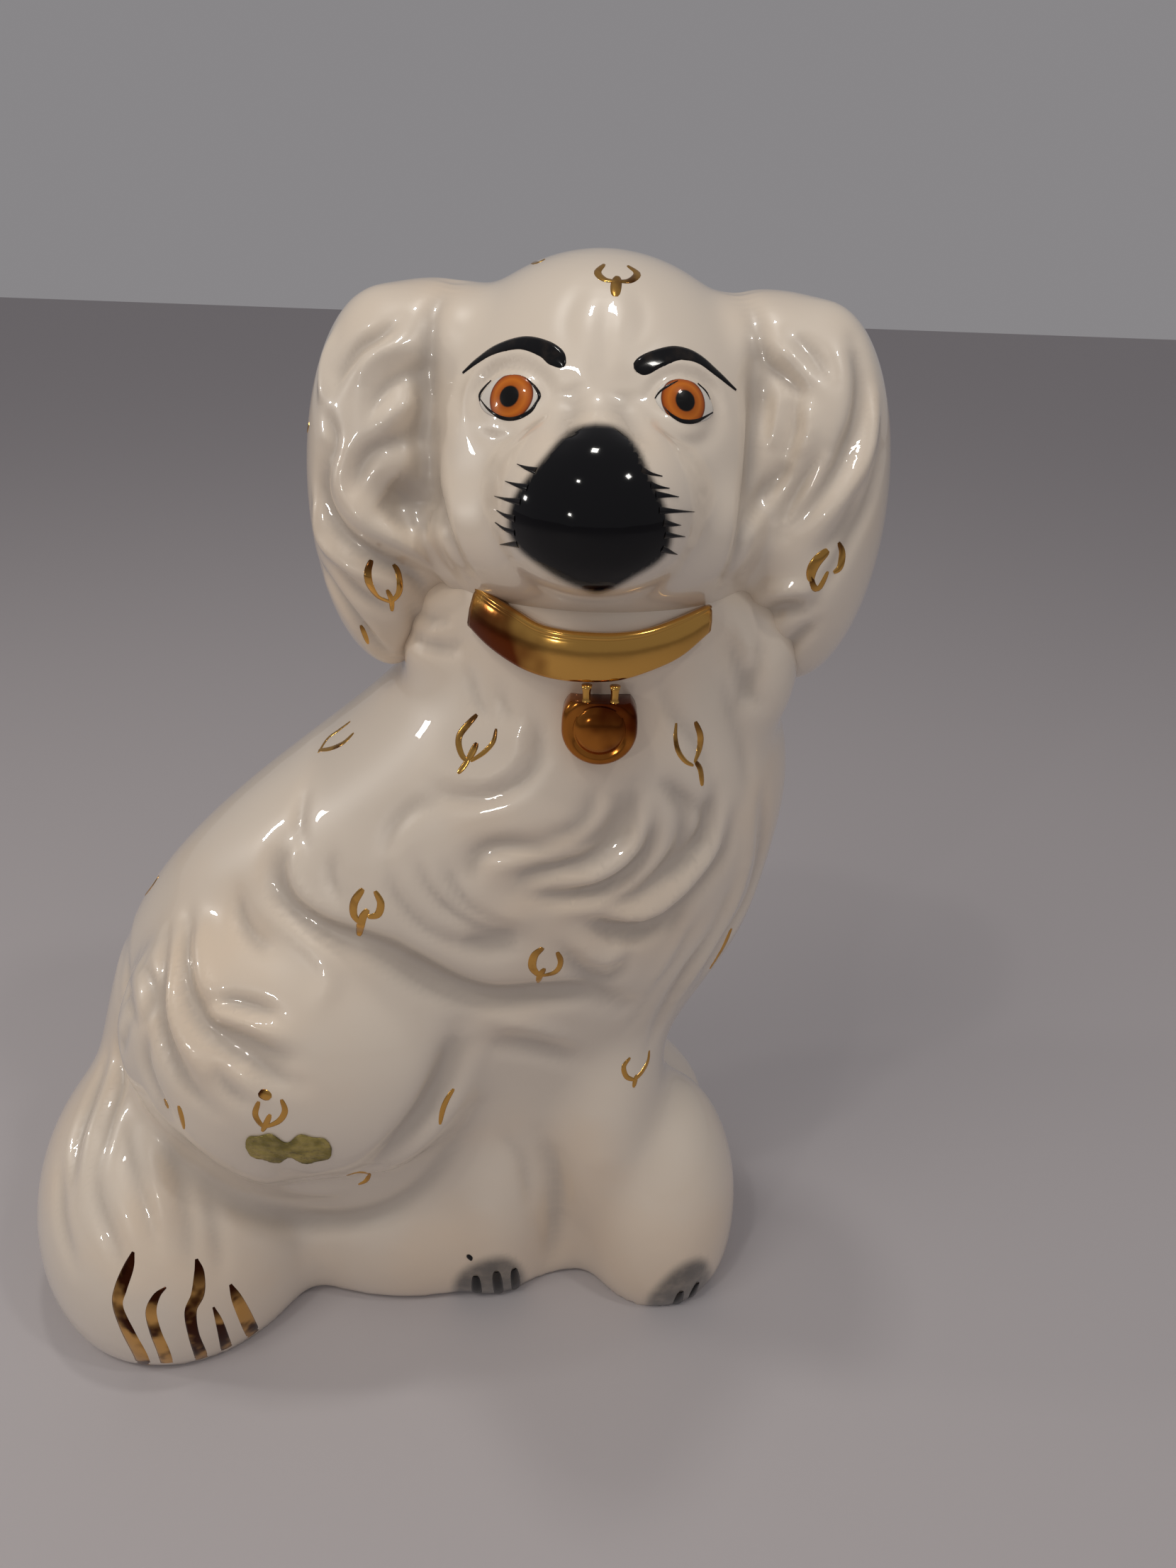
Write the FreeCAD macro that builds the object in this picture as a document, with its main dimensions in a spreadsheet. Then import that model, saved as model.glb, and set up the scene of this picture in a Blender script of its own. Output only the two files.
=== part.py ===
import FreeCAD, Part
import os

# A seated spaniel mantelpiece figure in glazed earthenware, in millimetres.
# The dog sits in profile with its chest to +X and its head turned to -Y. +Z is up, and the
# origin is on the flat underside. Left and right are the dog's own: its right flank faces -Y,
# and its right ear is the one at the lower X.
# Each hollow casting is luted face to face to the ones beside it, so every piece is cut by the
# outer surface of the pieces that carry it.

SIZES = {
    # clay
    "wall": 5.0,
    "overrun": 5.0,
    # torso
    "body_half_length": 92.0,
    "body_half_depth": 48.0,
    "body_height": 221.0,
    "neck_inset": 42.0,
    "neck_half_width": 40.0,
    "neck_half_depth": 39.5,
    "neck_forward": 3.0,
    "neck_height": 14.0,
    "throat_half_width": 34.0,
    "throat_half_depth": 42.0,
    "throat_half_height": 30.0,
    "throat_forward": 5.0,
    "throat_drop": 8.0,
    # underside
    "floor_thick": 5.0,
    "vent_radius": 5.0,
    "vent_offset": 30.0,
    # head
    "head_half_width": 43.0,
    "head_half_depth": 46.0,
    "head_half_height": 49.0,
    "head_rise": 20.0,
    "head_forward": 1.0,
    "cheek_half_width": 38.0,
    "cheek_half_depth": 32.0,
    "cheek_half_height": 21.0,
    "cheek_forward": 20.0,
    "cheek_drop": 4.0,
    "muzzle_half_width": 23.0,
    "muzzle_half_depth": 28.0,
    "muzzle_half_height": 20.0,
    "muzzle_forward": 37.0,
    "muzzle_rise": 3.0,
    # ears
    "ear_spread": 47.5,
    "ear_drop": 3.0,
    "ear_forward": 6.0,
    "ear_half_width": 19.0,
    "ear_half_depth": 26.0,
    "ear_half_height": 44.0,
    "ear_root_spread": 36.0,
    "ear_root_rise": 27.0,
    "ear_root_half_width": 24.0,
    "ear_root_half_depth": 22.0,
    "ear_root_half_height": 15.0,
    # thighs
    "thigh_inset": 69.0,
    "right_thigh_sink": 22.0,
    "left_thigh_sink": 16.0,
    "thigh_z": 94.0,
    "thigh_half_length": 51.0,
    "thigh_half_depth": 33.0,
    "thigh_half_height": 43.0,
    # tail
    "tail_inset": 26.0,
    "tail_side": 11.0,
    "tail_z": 22.0,
    "tail_half_length": 44.0,
    "tail_proud": 6.0,
    "tail_half_height": 54.0,
    # hind feet
    "heel_behind": 25.0,
    "toe_lap": 2.0,
    "right_hind_foot_sink": 40.0,
    "left_hind_foot_sink": 26.0,
    "hind_foot_z": 20.0,
    "hind_foot_half_depth": 30.0,
    "hind_foot_half_height": 42.0,
    "instep_back": 16.0,
    "instep_z": 30.0,
    "instep_half_length": 21.0,
    "instep_half_depth": 29.0,
    "instep_half_height": 58.0,
    # forelegs
    "foreleg_inset": 34.0,
    "right_foreleg_sink": 41.0,
    "left_foreleg_sink": 17.0,
    "foreleg_z": 55.0,
    "foreleg_half_length": 18.5,
    "foreleg_half_depth": 25.0,
    "foreleg_half_height": 52.0,
    "left_foreleg_back": 7.0,
    "leg_lap": 2.5,
    "paw_ahead": 18.0,
    "paw_z": 18.0,
    "paw_half_length": 25.0,
    "paw_half_depth": 30.0,
    "right_paw_half_height": 47.0,
    "left_paw_half_height": 38.0,
    # collar and locket
    "collar_height": 11.2,
    "collar_drop": 13.6,
    "collar_tilt": 7.0,
    "collar_proud": 2.4,
    "collar_width": 53.0,
    "locket_offset": 2.3,
    "locket_radius": 8.2,
    "locket_gap": 3.6,
    "locket_flat": 6.6,
    "locket_proud": 2.8,
    "locket_dome_radius": 5.4,
    "locket_dome_proud": 1.4,
    "link_radius": 0.9,
    "link_spread": 3.0,
    # foil label on the right thigh
    "label_x": 1.0,
    "label_drop": 12.0,
    "label_length": 21.5,
    "label_waist": 5.6,
    "label_lobe": 3.0,
    "label_thick": 0.4,
}

# Places and sizes that follow the torso's ends and flanks
DERIVED = {
    "neck_x": "body_half_length - neck_inset",
    "thigh_x": "thigh_inset - body_half_length",
    "thigh_side": "body_half_depth - right_thigh_sink",
    "left_thigh_side": "body_half_depth - left_thigh_sink",
    "tail_x": "tail_inset - body_half_length",
    "tail_half_depth": "body_half_depth + tail_proud",
    "foreleg_x": "body_half_length - foreleg_inset",
    "foreleg_side": "body_half_depth - right_foreleg_sink",
    "left_foreleg_side": "body_half_depth - left_foreleg_sink",
    "leg_meeting_x": "foreleg_x - foreleg_half_length + leg_lap",
    "heel_x": "thigh_x - heel_behind",
    "toe_x": "leg_meeting_x + toe_lap",
    "hind_foot_x": "(heel_x + toe_x) / 2",
    "hind_foot_half_length": "(toe_x - heel_x) / 2",
    "hind_foot_side": "body_half_depth - right_hind_foot_sink",
    "left_hind_foot_side": "body_half_depth - left_hind_foot_sink",
}

# Rings of the torso from the ground up to the shoulders. Heights are shares of body_height,
# the two columns along X are shares of body_half_length, the two along Y of body_half_depth:
# height, centre X, half length, centre Y, half depth.
TORSO_RING_SHARES = (
    (0.000, -0.10, 0.97, 0.10, 0.75),
    (0.136, -0.14, 0.99, 0.10, 0.81),
    (0.272, -0.12, 0.93, 0.10, 0.85),
    (0.407, -0.03, 0.92, 0.08, 0.88),
    (0.543, 0.12, 0.92, 0.04, 0.94),
    (0.679, 0.29, 0.81, 0.00, 0.98),
    (0.814, 0.48, 0.61, 0.00, 0.96),
)

# A quarter turn that lays an upright axis along X
LYING = FreeCAD.Rotation(
    FreeCAD.Vector(0, -1, 0), FreeCAD.Vector(0, 0, -1), FreeCAD.Vector(1, 0, 0), "XYZ"
)

doc = FreeCAD.newDocument("SpanielFigure")


def make_sheet():
    """The spreadsheet of the driving dimensions and of what follows from them, one alias each."""
    sheet = doc.addObject("Spreadsheet::Sheet", "Sizes")
    cells = {name: str(value) for name, value in SIZES.items()}
    cells.update({name: f"={text}" for name, text in DERIVED.items()})
    for row, (name, content) in enumerate(cells.items(), start=1):
        sheet.set(f"A{row}", name)
        sheet.set(f"B{row}", content)
        sheet.setAlias(f"B{row}", name)
    doc.recompute()
    return sheet


def formula(text):
    """Turn a formula of size names into one that reads the sheet."""
    words = text.replace("(", " ( ").replace(")", " ) ").split()
    return " ".join(f"Sizes.{word}" if word in SIZES or word in DERIVED else word for word in words)


def bind(thing, **formulas):
    """Bind properties of an object to formulas of size names."""
    for name, text in formulas.items():
        thing.setExpression(name, formula(text))


def place(thing, x="0", y="0", z="0"):
    """Bind an object's position to formulas of size names."""
    for axis, text in (("x", x), ("y", y), ("z", z)):
        thing.setExpression(f"Placement.Base.{axis}", formula(text))


def ellipsoid(name, centre, radii, lying=False):
    """A whole ellipsoid from the formulas of its centre and of its X, Y and Z radii.

    Its poles are along Z and its seam faces +X. Lying, they are along X and it faces -Y.
    """
    lump = doc.addObject("Part::Ellipsoid", name)
    along_x, along_y, along_z = radii
    if lying:
        bind(lump, Radius1=along_x, Radius2=along_y, Radius3=along_z)
        lump.Placement.Rotation = LYING
    else:
        bind(lump, Radius1=along_z, Radius2=along_x, Radius3=along_y)
    lump.Angle1, lump.Angle2, lump.Angle3 = -90, 90, 360
    place(lump, *centre)
    return lump


def box(name, corner, lengths):
    """A box from the formulas of its lowest corner and of its three lengths."""
    block = doc.addObject("Part::Box", name)
    bind(block, Length=lengths[0], Width=lengths[1], Height=lengths[2])
    place(block, *corner)
    return block


def fuse(name, *shapes):
    """Several lumps as one."""
    whole = doc.addObject("Part::MultiFuse", name)
    whole.Shapes = list(shapes)
    return whole


def cut(name, base, *tools):
    """A lump less each of the tools in turn."""
    for tool in tools:
        rest = doc.addObject("Part::Cut", f"{name}_less_{tool.Name}")
        rest.Base, rest.Tool = base, tool
        base = rest
    return base


def luted(name, form, *tools):
    """A form less its hollows and the neighbours that it is luted to, all in one cut."""
    doc.recompute()
    piece = doc.addObject("Part::Feature", name)
    piece.Shape = form.Shape.cut([tool.Shape for tool in tools])
    piece.Placement = FreeCAD.Placement()
    return piece


def common(name, one, other):
    """What two lumps share."""
    shared = doc.addObject("Part::Common", name)
    shared.Base, shared.Tool = one, other
    return shared


def ring(name, centre, half_length, half_depth, height):
    """A level elliptical section of a loft."""
    section = doc.addObject("Part::Ellipse", name)
    bind(section, MajorRadius=half_length, MinorRadius=half_depth)
    place(section, centre[0], centre[1], height)
    return section


def torso(name, inset):
    """The torso as a loft of level rings, each drawn in by the inset."""
    rings = []
    for number, (up, mid_x, long, mid_y, deep) in enumerate(TORSO_RING_SHARES):
        rings.append(ring(
            f"{name}_ring_{number}",
            (f"body_half_length * {mid_x}", f"body_half_depth * {mid_y}"),
            f"body_half_length * {long} - {inset}",
            f"body_half_depth * {deep} - {inset}",
            f"body_height * {up}",
        ))
    for number, height in enumerate(("body_height - neck_height", "body_height")):
        rings.append(ring(
            f"{name}_neck_ring_{number}",
            ("neck_x", "0 - neck_forward"),
            f"neck_half_width - {inset}",
            f"neck_half_depth - {inset}",
            height,
        ))
    loft = doc.addObject("Part::Loft", name)
    loft.Sections = rings
    loft.Solid, loft.Ruled, loft.Closed = True, False, False
    return loft


def casting(name, *lumps, lying=False):
    """The outer form of a casting made of one or more ellipsoids, and its cores, drawn in."""
    forms = []
    cores = []
    for number, (centre, radii) in enumerate(lumps):
        drawn_in = [f"{radius} - wall" for radius in radii]
        forms.append(ellipsoid(f"{name}_form_{number}", centre, radii, lying))
        cores.append(ellipsoid(f"{name}_core_{number}", centre, drawn_in, lying))
    outer = fuse(f"{name}_outer", *forms) if len(forms) > 1 else forms[0]
    return outer, cores


make_sheet()
ground = box(
    "ground",
    ("0 - 3 * body_half_length", "0 - 3 * body_half_length", "0 - body_height"),
    ("6 * body_half_length", "6 * body_half_length", "body_height"),
)

# Torso, open at the neck and closed below by a floor that fits inside its wall
throat_z = "body_height - throat_drop"
throat = ellipsoid(
    "throat",
    ("neck_x", "0 - throat_forward", throat_z),
    ("throat_half_width", "throat_half_depth", "throat_half_height"),
)
above_neck = box(
    "above_neck",
    ("neck_x - 2 * head_half_width", "0 - 3 * head_half_depth", "body_height"),
    ("4 * head_half_width", "6 * head_half_depth", "body_height"),
)
torso_outer = fuse("torso_outer", torso("torso_loft", "0"), cut("throat_cut", throat, above_neck))
torso_core = torso("torso_core", "wall")
body = cut("body", torso_outer, torso_core)
floor_block = box(
    "floor_block",
    ("0 - 3 * body_half_length", "0 - 3 * body_half_length", "0"),
    ("6 * body_half_length", "6 * body_half_length", "floor_thick"),
)
vent = doc.addObject("Part::Cylinder", "vent")
bind(vent, Radius="vent_radius", Height="floor_thick + 2 * overrun")
place(vent, "vent_offset", "vent_offset / 2", "0 - overrun")
floor = cut("floor", common("floor_disc", torso_core, floor_block), vent)

# Head with its muzzle, standing on the neck
head_centre = ("neck_x", "0 - head_forward", "body_height + head_rise")
cheek_centre = (
    "neck_x",
    "0 - head_forward - cheek_forward",
    "body_height + head_rise - cheek_drop",
)
muzzle_centre = (
    "neck_x",
    "0 - head_forward - muzzle_forward",
    "body_height + head_rise + muzzle_rise",
)
head_outer, head_cores = casting(
    "head",
    (head_centre, ("head_half_width", "head_half_depth", "head_half_height")),
    (cheek_centre, ("cheek_half_width", "cheek_half_depth", "cheek_half_height")),
    (muzzle_centre, ("muzzle_half_width", "muzzle_half_depth", "muzzle_half_height")),
)
below_head = box(
    "below_head",
    ("neck_x - 2 * head_half_width", "0 - 3 * head_half_depth", "0"),
    ("4 * head_half_width", "6 * head_half_depth", "body_height"),
)
head = luted("head", head_outer, below_head, *head_cores)

# Ears, hanging against the head and the shoulders
ears = {}
ear_outers = []
for side, sign in (("right", "-"), ("left", "+")):
    ear_centre = (
        f"neck_x {sign} ear_spread",
        "0 - ear_forward",
        "body_height + head_rise - ear_drop",
    )
    ear_root_centre = (
        f"neck_x {sign} ear_root_spread",
        "0 - head_forward",
        "body_height + head_rise + ear_root_rise",
    )
    ear_root_radii = ("ear_root_half_width", "ear_root_half_depth", "ear_root_half_height")
    ear_outer, ear_cores = casting(
        f"{side}_ear",
        (ear_centre, ("ear_half_width", "ear_half_depth", "ear_half_height")),
        (ear_root_centre, ear_root_radii),
        lying=True,
    )
    ears[side] = luted(f"{side}_ear", ear_outer, torso_outer, head_outer, *ear_cores)
    ear_outers.append(ear_outer)

# Thighs, tail, hind feet and forelegs, each cut by what it is luted to
thighs = {}
thigh_forms = {}
for side, across in (("right", "0 - thigh_side"), ("left", "left_thigh_side")):
    thigh_centre = ("thigh_x", across, "thigh_z")
    thigh_radii = ("thigh_half_length", "thigh_half_depth", "thigh_half_height")
    thigh_forms[side], thigh_cores = casting(f"{side}_thigh", (thigh_centre, thigh_radii))
    thighs[side] = luted(f"{side}_thigh", thigh_forms[side], torso_outer, *thigh_cores)

tail_outer, tail_cores = casting(
    "tail",
    (
        ("tail_x", "0 - tail_side", "tail_z"),
        ("tail_half_length", "tail_half_depth", "tail_half_height"),
    ),
)
tail = luted(
    "tail",
    tail_outer,
    ground,
    torso_outer,
    thigh_forms["right"],
    thigh_forms["left"],
    *tail_cores,
)

# Hind feet and forelegs meet at one upright plane across the figure
leg_block = ("6 * paw_half_length", "6 * body_half_depth", "body_height")
ahead_of_feet = box("ahead_of_feet", ("leg_meeting_x", "0 - 3 * body_half_depth", "0"), leg_block)
behind_legs = box(
    "behind_legs", ("leg_meeting_x - 6 * paw_half_length", "0 - 3 * body_half_depth", "0"), leg_block
)
feet = {}
for side, across in (
    ("right", "0 - hind_foot_side"),
    ("left", "left_hind_foot_side"),
):
    sole = ellipsoid(
        f"{side}_sole",
        ("hind_foot_x", across, "hind_foot_z"),
        ("hind_foot_half_length", "hind_foot_half_depth", "hind_foot_half_height"),
    )
    instep = ellipsoid(
        f"{side}_instep",
        ("leg_meeting_x - instep_back", across, "instep_z"),
        ("instep_half_length", "instep_half_depth", "instep_half_height"),
    )
    feet[side] = luted(
        f"{side}_hind_foot",
        fuse(f"{side}_foot_form", sole, instep),
        ground,
        ahead_of_feet,
        torso_outer,
        thigh_forms[side],
        tail_outer,
    )

# The forelegs meet each other at a flat face midway between them
forelegs = {}
between_legs = "(left_foreleg_side - foreleg_side) / 2"
leg_block_x = "foreleg_x - 3 * paw_half_length"
beyond_face = {
    "right": box("beyond_right_leg", (leg_block_x, between_legs, "0"), leg_block),
    "left": box(
        "beyond_left_leg", (leg_block_x, f"{between_legs} - 6 * body_half_depth", "0"), leg_block
    ),
}
for side, along, across in (
    ("right", "foreleg_x", "0 - foreleg_side"),
    ("left", "foreleg_x - left_foreleg_back", "left_foreleg_side"),
):
    foreleg_outer, foreleg_cores = casting(
        f"{side}_foreleg",
        (
            (along, across, "foreleg_z"),
            ("foreleg_half_length", "foreleg_half_depth", "foreleg_half_height"),
        ),
        (
            (f"{along} + paw_ahead", across, "paw_z"),
            ("paw_half_length", "paw_half_depth", f"{side}_paw_half_height"),
        ),
    )
    forelegs[side] = luted(
        f"{side}_foreleg",
        foreleg_outer,
        ground,
        beyond_face[side],
        behind_legs,
        torso_outer,
        *foreleg_cores,
    )

# Collar band across the front of the neck, lower in front, between the ears
throat_front = "throat_forward + throat_half_depth"
collar_z = "body_height - collar_drop"
collar_skin = ellipsoid(
    "collar_skin",
    ("neck_x", "0 - throat_forward", throat_z),
    (
        "throat_half_width + collar_proud",
        "throat_half_depth + collar_proud",
        "throat_half_height + collar_proud",
    ),
)
collar_slab = box(
    "collar_slab",
    ("neck_x - collar_width / 2", f"0 - ({throat_front}) - overrun", collar_z),
    ("collar_width", "throat_half_depth + overrun", "collar_height"),
)
collar_slab.Placement.Rotation = FreeCAD.Rotation(FreeCAD.Vector(1, 0, 0), 1)
collar_slab.setExpression("Placement.Rotation.Angle", formula("collar_tilt"))
collar = cut(
    "collar", common("collar_band", collar_skin, collar_slab), torso_outer, head_outer, *ear_outers
)

# Padlock-shaped locket under the collar, with its two short links
locket_x = "neck_x + locket_offset"
locket_top = f"{collar_z} - locket_gap"
locket_z = f"{locket_top} - locket_flat"
locket_face = f"{throat_front} + locket_proud"
disc = doc.addObject("Part::Cylinder", "disc")
bind(disc, Radius="locket_radius", Height=f"{locket_face} - throat_half_depth / 2")
disc.Placement.Rotation = FreeCAD.Rotation(FreeCAD.Vector(1, 0, 0), 90)
place(disc, locket_x, "0 - throat_half_depth / 2", locket_z)
above_locket = box(
    "above_locket",
    (f"{locket_x} - 2 * locket_radius", "0 - 2 * throat_half_depth", locket_top),
    ("4 * locket_radius", "2 * throat_half_depth", "4 * locket_radius"),
)
dome = ellipsoid(
    "dome",
    (locket_x, f"0 - ({locket_face})", locket_z),
    ("locket_dome_radius", "locket_dome_proud", "locket_dome_radius"),
)
locket = cut("locket", fuse("locket_domed", disc, dome), above_locket, torso_outer)
links = {}
for side, sign in (("right", "-"), ("left", "+")):
    link = doc.addObject("Part::Cylinder", f"{side}_link_rod")
    bind(link, Radius="link_radius", Height="locket_gap + collar_height / 2")
    place(
        link,
        f"{locket_x} {sign} link_spread",
        f"0 - ({throat_front}) - link_radius / 2",
        locket_top,
    )
    links[side] = cut(f"{side}_link", link, torso_outer, collar)

# Foil label, a thin skin on the right thigh in the outline of a bone
label_centre = ("thigh_x + label_x", "0 - 2 * thigh_side", "thigh_z - label_drop")
raised_thigh = ellipsoid(
    "raised_thigh",
    ("thigh_x", "0 - thigh_side", "thigh_z"),
    (
        "thigh_half_length + label_thick",
        "thigh_half_depth + label_thick",
        "thigh_half_height + label_thick",
    ),
)
bar = box(
    "label_bar",
    (
        f"{label_centre[0]} - label_length / 2 + label_lobe",
        "0 - 4 * thigh_side",
        f"{label_centre[2]} - label_waist / 2",
    ),
    ("label_length - 2 * label_lobe", "3 * thigh_side", "label_waist"),
)
lobes = []
for along in ("-", "+"):
    for up in ("-", "+"):
        lobe = doc.addObject("Part::Cylinder", f"label_lobe_{len(lobes)}")
        bind(lobe, Radius="label_lobe", Height="3 * thigh_side")
        lobe.Placement.Rotation = FreeCAD.Rotation(FreeCAD.Vector(1, 0, 0), 90)
        place(
            lobe,
            f"{label_centre[0]} {along} (label_length / 2 - label_lobe)",
            "0 - thigh_side",
            f"{label_centre[2]} {up} label_waist / 2",
        )
        lobes.append(lobe)
bone = fuse("label_outline", bar, *lobes)
label = cut("label_skin", common("label_patch", raised_thigh, bone), thigh_forms["right"])

NODES = {
    "torso": body,
    "floor": floor,
    "head": head,
    "right_ear": ears["right"],
    "left_ear": ears["left"],
    "right_thigh": thighs["right"],
    "left_thigh": thighs["left"],
    "tail": tail,
    "right_hind_foot": feet["right"],
    "left_hind_foot": feet["left"],
    "right_foreleg": forelegs["right"],
    "left_foreleg": forelegs["left"],
    "collar": collar,
    "locket": locket,
    "right_locket_link": links["right"],
    "left_locket_link": links["left"],
    "foil_label": label,
}
for name, piece in NODES.items():
    piece.Label = name

doc.recompute()
for thing in doc.Objects:
    if "Invalid" in thing.State or "Error" in thing.State:
        raise RuntimeError(f"{thing.Label} did not build: {thing.State}")
for name, piece in NODES.items():
    if piece.Shape.isNull() or not piece.Shape.isValid() or not piece.Shape.Solids:
        raise RuntimeError(f"{name} has no valid solid")

os.makedirs("parts", exist_ok=True)
for name, piece in NODES.items():
    solids = piece.Shape.Solids
    print(f"{name}: {len(solids)} solid, {piece.Shape.Volume / 1000:.1f} cm3")
    piece.Shape.exportStep(f"parts/{name}.step")
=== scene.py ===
"""The looks of a seated glazed earthenware spaniel figure, built round its packed castings.

The glazed skin is two closed pieces, head and body. Each is grown round its castings, its joints
are softened as slip and glaze soften them, and the modelled hair is pressed in along laid locks.
Paint and lustre are thin strokes that lie on that skin.
"""

import math

import bmesh
import bpy
import numpy as np
from mathutils import Matrix, Vector
from mathutils.bvhtree import BVHTree


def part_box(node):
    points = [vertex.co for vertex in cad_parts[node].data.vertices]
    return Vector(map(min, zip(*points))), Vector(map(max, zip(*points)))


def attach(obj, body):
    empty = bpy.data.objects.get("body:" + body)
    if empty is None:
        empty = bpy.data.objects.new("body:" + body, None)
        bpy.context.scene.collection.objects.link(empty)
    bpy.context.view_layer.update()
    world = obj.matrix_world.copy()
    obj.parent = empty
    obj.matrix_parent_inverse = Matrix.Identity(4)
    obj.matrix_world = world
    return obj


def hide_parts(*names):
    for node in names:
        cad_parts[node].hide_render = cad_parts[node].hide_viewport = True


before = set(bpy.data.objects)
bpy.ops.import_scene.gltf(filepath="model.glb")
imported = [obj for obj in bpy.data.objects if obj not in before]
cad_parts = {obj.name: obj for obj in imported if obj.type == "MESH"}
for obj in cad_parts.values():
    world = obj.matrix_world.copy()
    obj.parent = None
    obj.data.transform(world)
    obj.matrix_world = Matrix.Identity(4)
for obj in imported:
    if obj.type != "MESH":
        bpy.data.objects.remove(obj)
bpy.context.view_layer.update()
MM = 0.001
# Points closer than this, in metres, are one
WELD = 1e-7

# The photograph's frame, in its own pixels, and the camera that took it, in millimetres
PHOTO_WIDTH, PHOTO_HEIGHT = 1659, 2212
FOCAL_PIXELS = 1660
CAMERA_PLACE = Vector((50.3, -279.7, 300.9))
CAMERA_PITCH = math.radians(26.81)
CAMERA_ROLL = math.radians(2.08)
SENSOR = 36.0

HEAD_NODES = ("head", "right_ear", "left_ear")
BODY_NODES = (
    "torso",
    "floor",
    "right_thigh",
    "left_thigh",
    "tail",
    "right_hind_foot",
    "left_hind_foot",
    "right_foreleg",
    "left_foreleg",
)
# How fine each skin is grown, in millimetres
HEAD_VOXEL = 0.92
BODY_VOXEL = 1.5
# How many times deeper the locks are pressed than their tables say
HAIR_DEPTH = 1.6
# How far from the ground a skin still counts as resting on it
GROUND_SKIN = 0.4
# Healing: how high it starts, and the rounds and the growth in which a healed patch spreads
HEAL_FROM = 4.0
HEAL_SPREAD = 5
HEAL_GROWTH = 1.3
# Bends between neighbours, in millimetres, from which healing begins and at which it is full
HEAL_BENDS = (0.035, 0.08)
# Half of the way to the neighbours' mean is the strongest share that stays even
FULL_SHARE = 0.5
LAST_SHARE = 0.4
LAST_ROUNDS = 3
# Locks: their spacing in pixels, their reach and fall in half widths, and where they fade
LOCK_SPACING = 8
LOCK_REACH = 2.2
LOCK_FALL = 1.4
LOCK_ENDS = (0.02, 0.98)
LOCK_FACING = (-0.1, 0.4)
NORMAL_ROUNDS = 4
# Combed locks: each bend's size, length in millimetres and twist, then the finer locks' height,
# number, bend and phase beside the main ones, and where the locks fade in
COMB_BENDS = ((0.16, 11.0, 2.0), (0.10, 5.5, -3.0))
COMB_FINE = (0.45, 2.3, 0.7, 1.0)
COMB_UNSEEN = (0.05, 0.55)
COMB_UPRIGHT = (0.25, 0.6)
# The lens that closes the open neck of head and torso
NECK_PLUG_RADII = (38.3, 39.5, 15.0)
# Hair between each ear and the neck, and the web between the far legs: middle, then radii
NAPE_LUMPS = (
    (-34.0, -15.0, -1.0, 12.0, 15.0, 17.0),
    (36.0, -15.0, -6.0, 14.0, 17.0, 22.0),
    (-4.0, 31.0, -155.0, 18.0, 20.0, 54.0),
)

# The rim of the haunch, where the casting leaves a fine seam that the glaze fills, in pixels
HAUNCH_RIM = (
    (190, 1290), (176, 1330), (172, 1400), (186, 1480), (203, 1557), (270, 1617), (344, 1654), (440, 1665),
    (515, 1647), (582, 1602), (640, 1530), (668, 1470),
)
# How far to each side the rim is rounded off, in millimetres
RIM_REACH = 5.0
RIM_SPACING = 12
RIM_ROUNDS = 110

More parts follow.
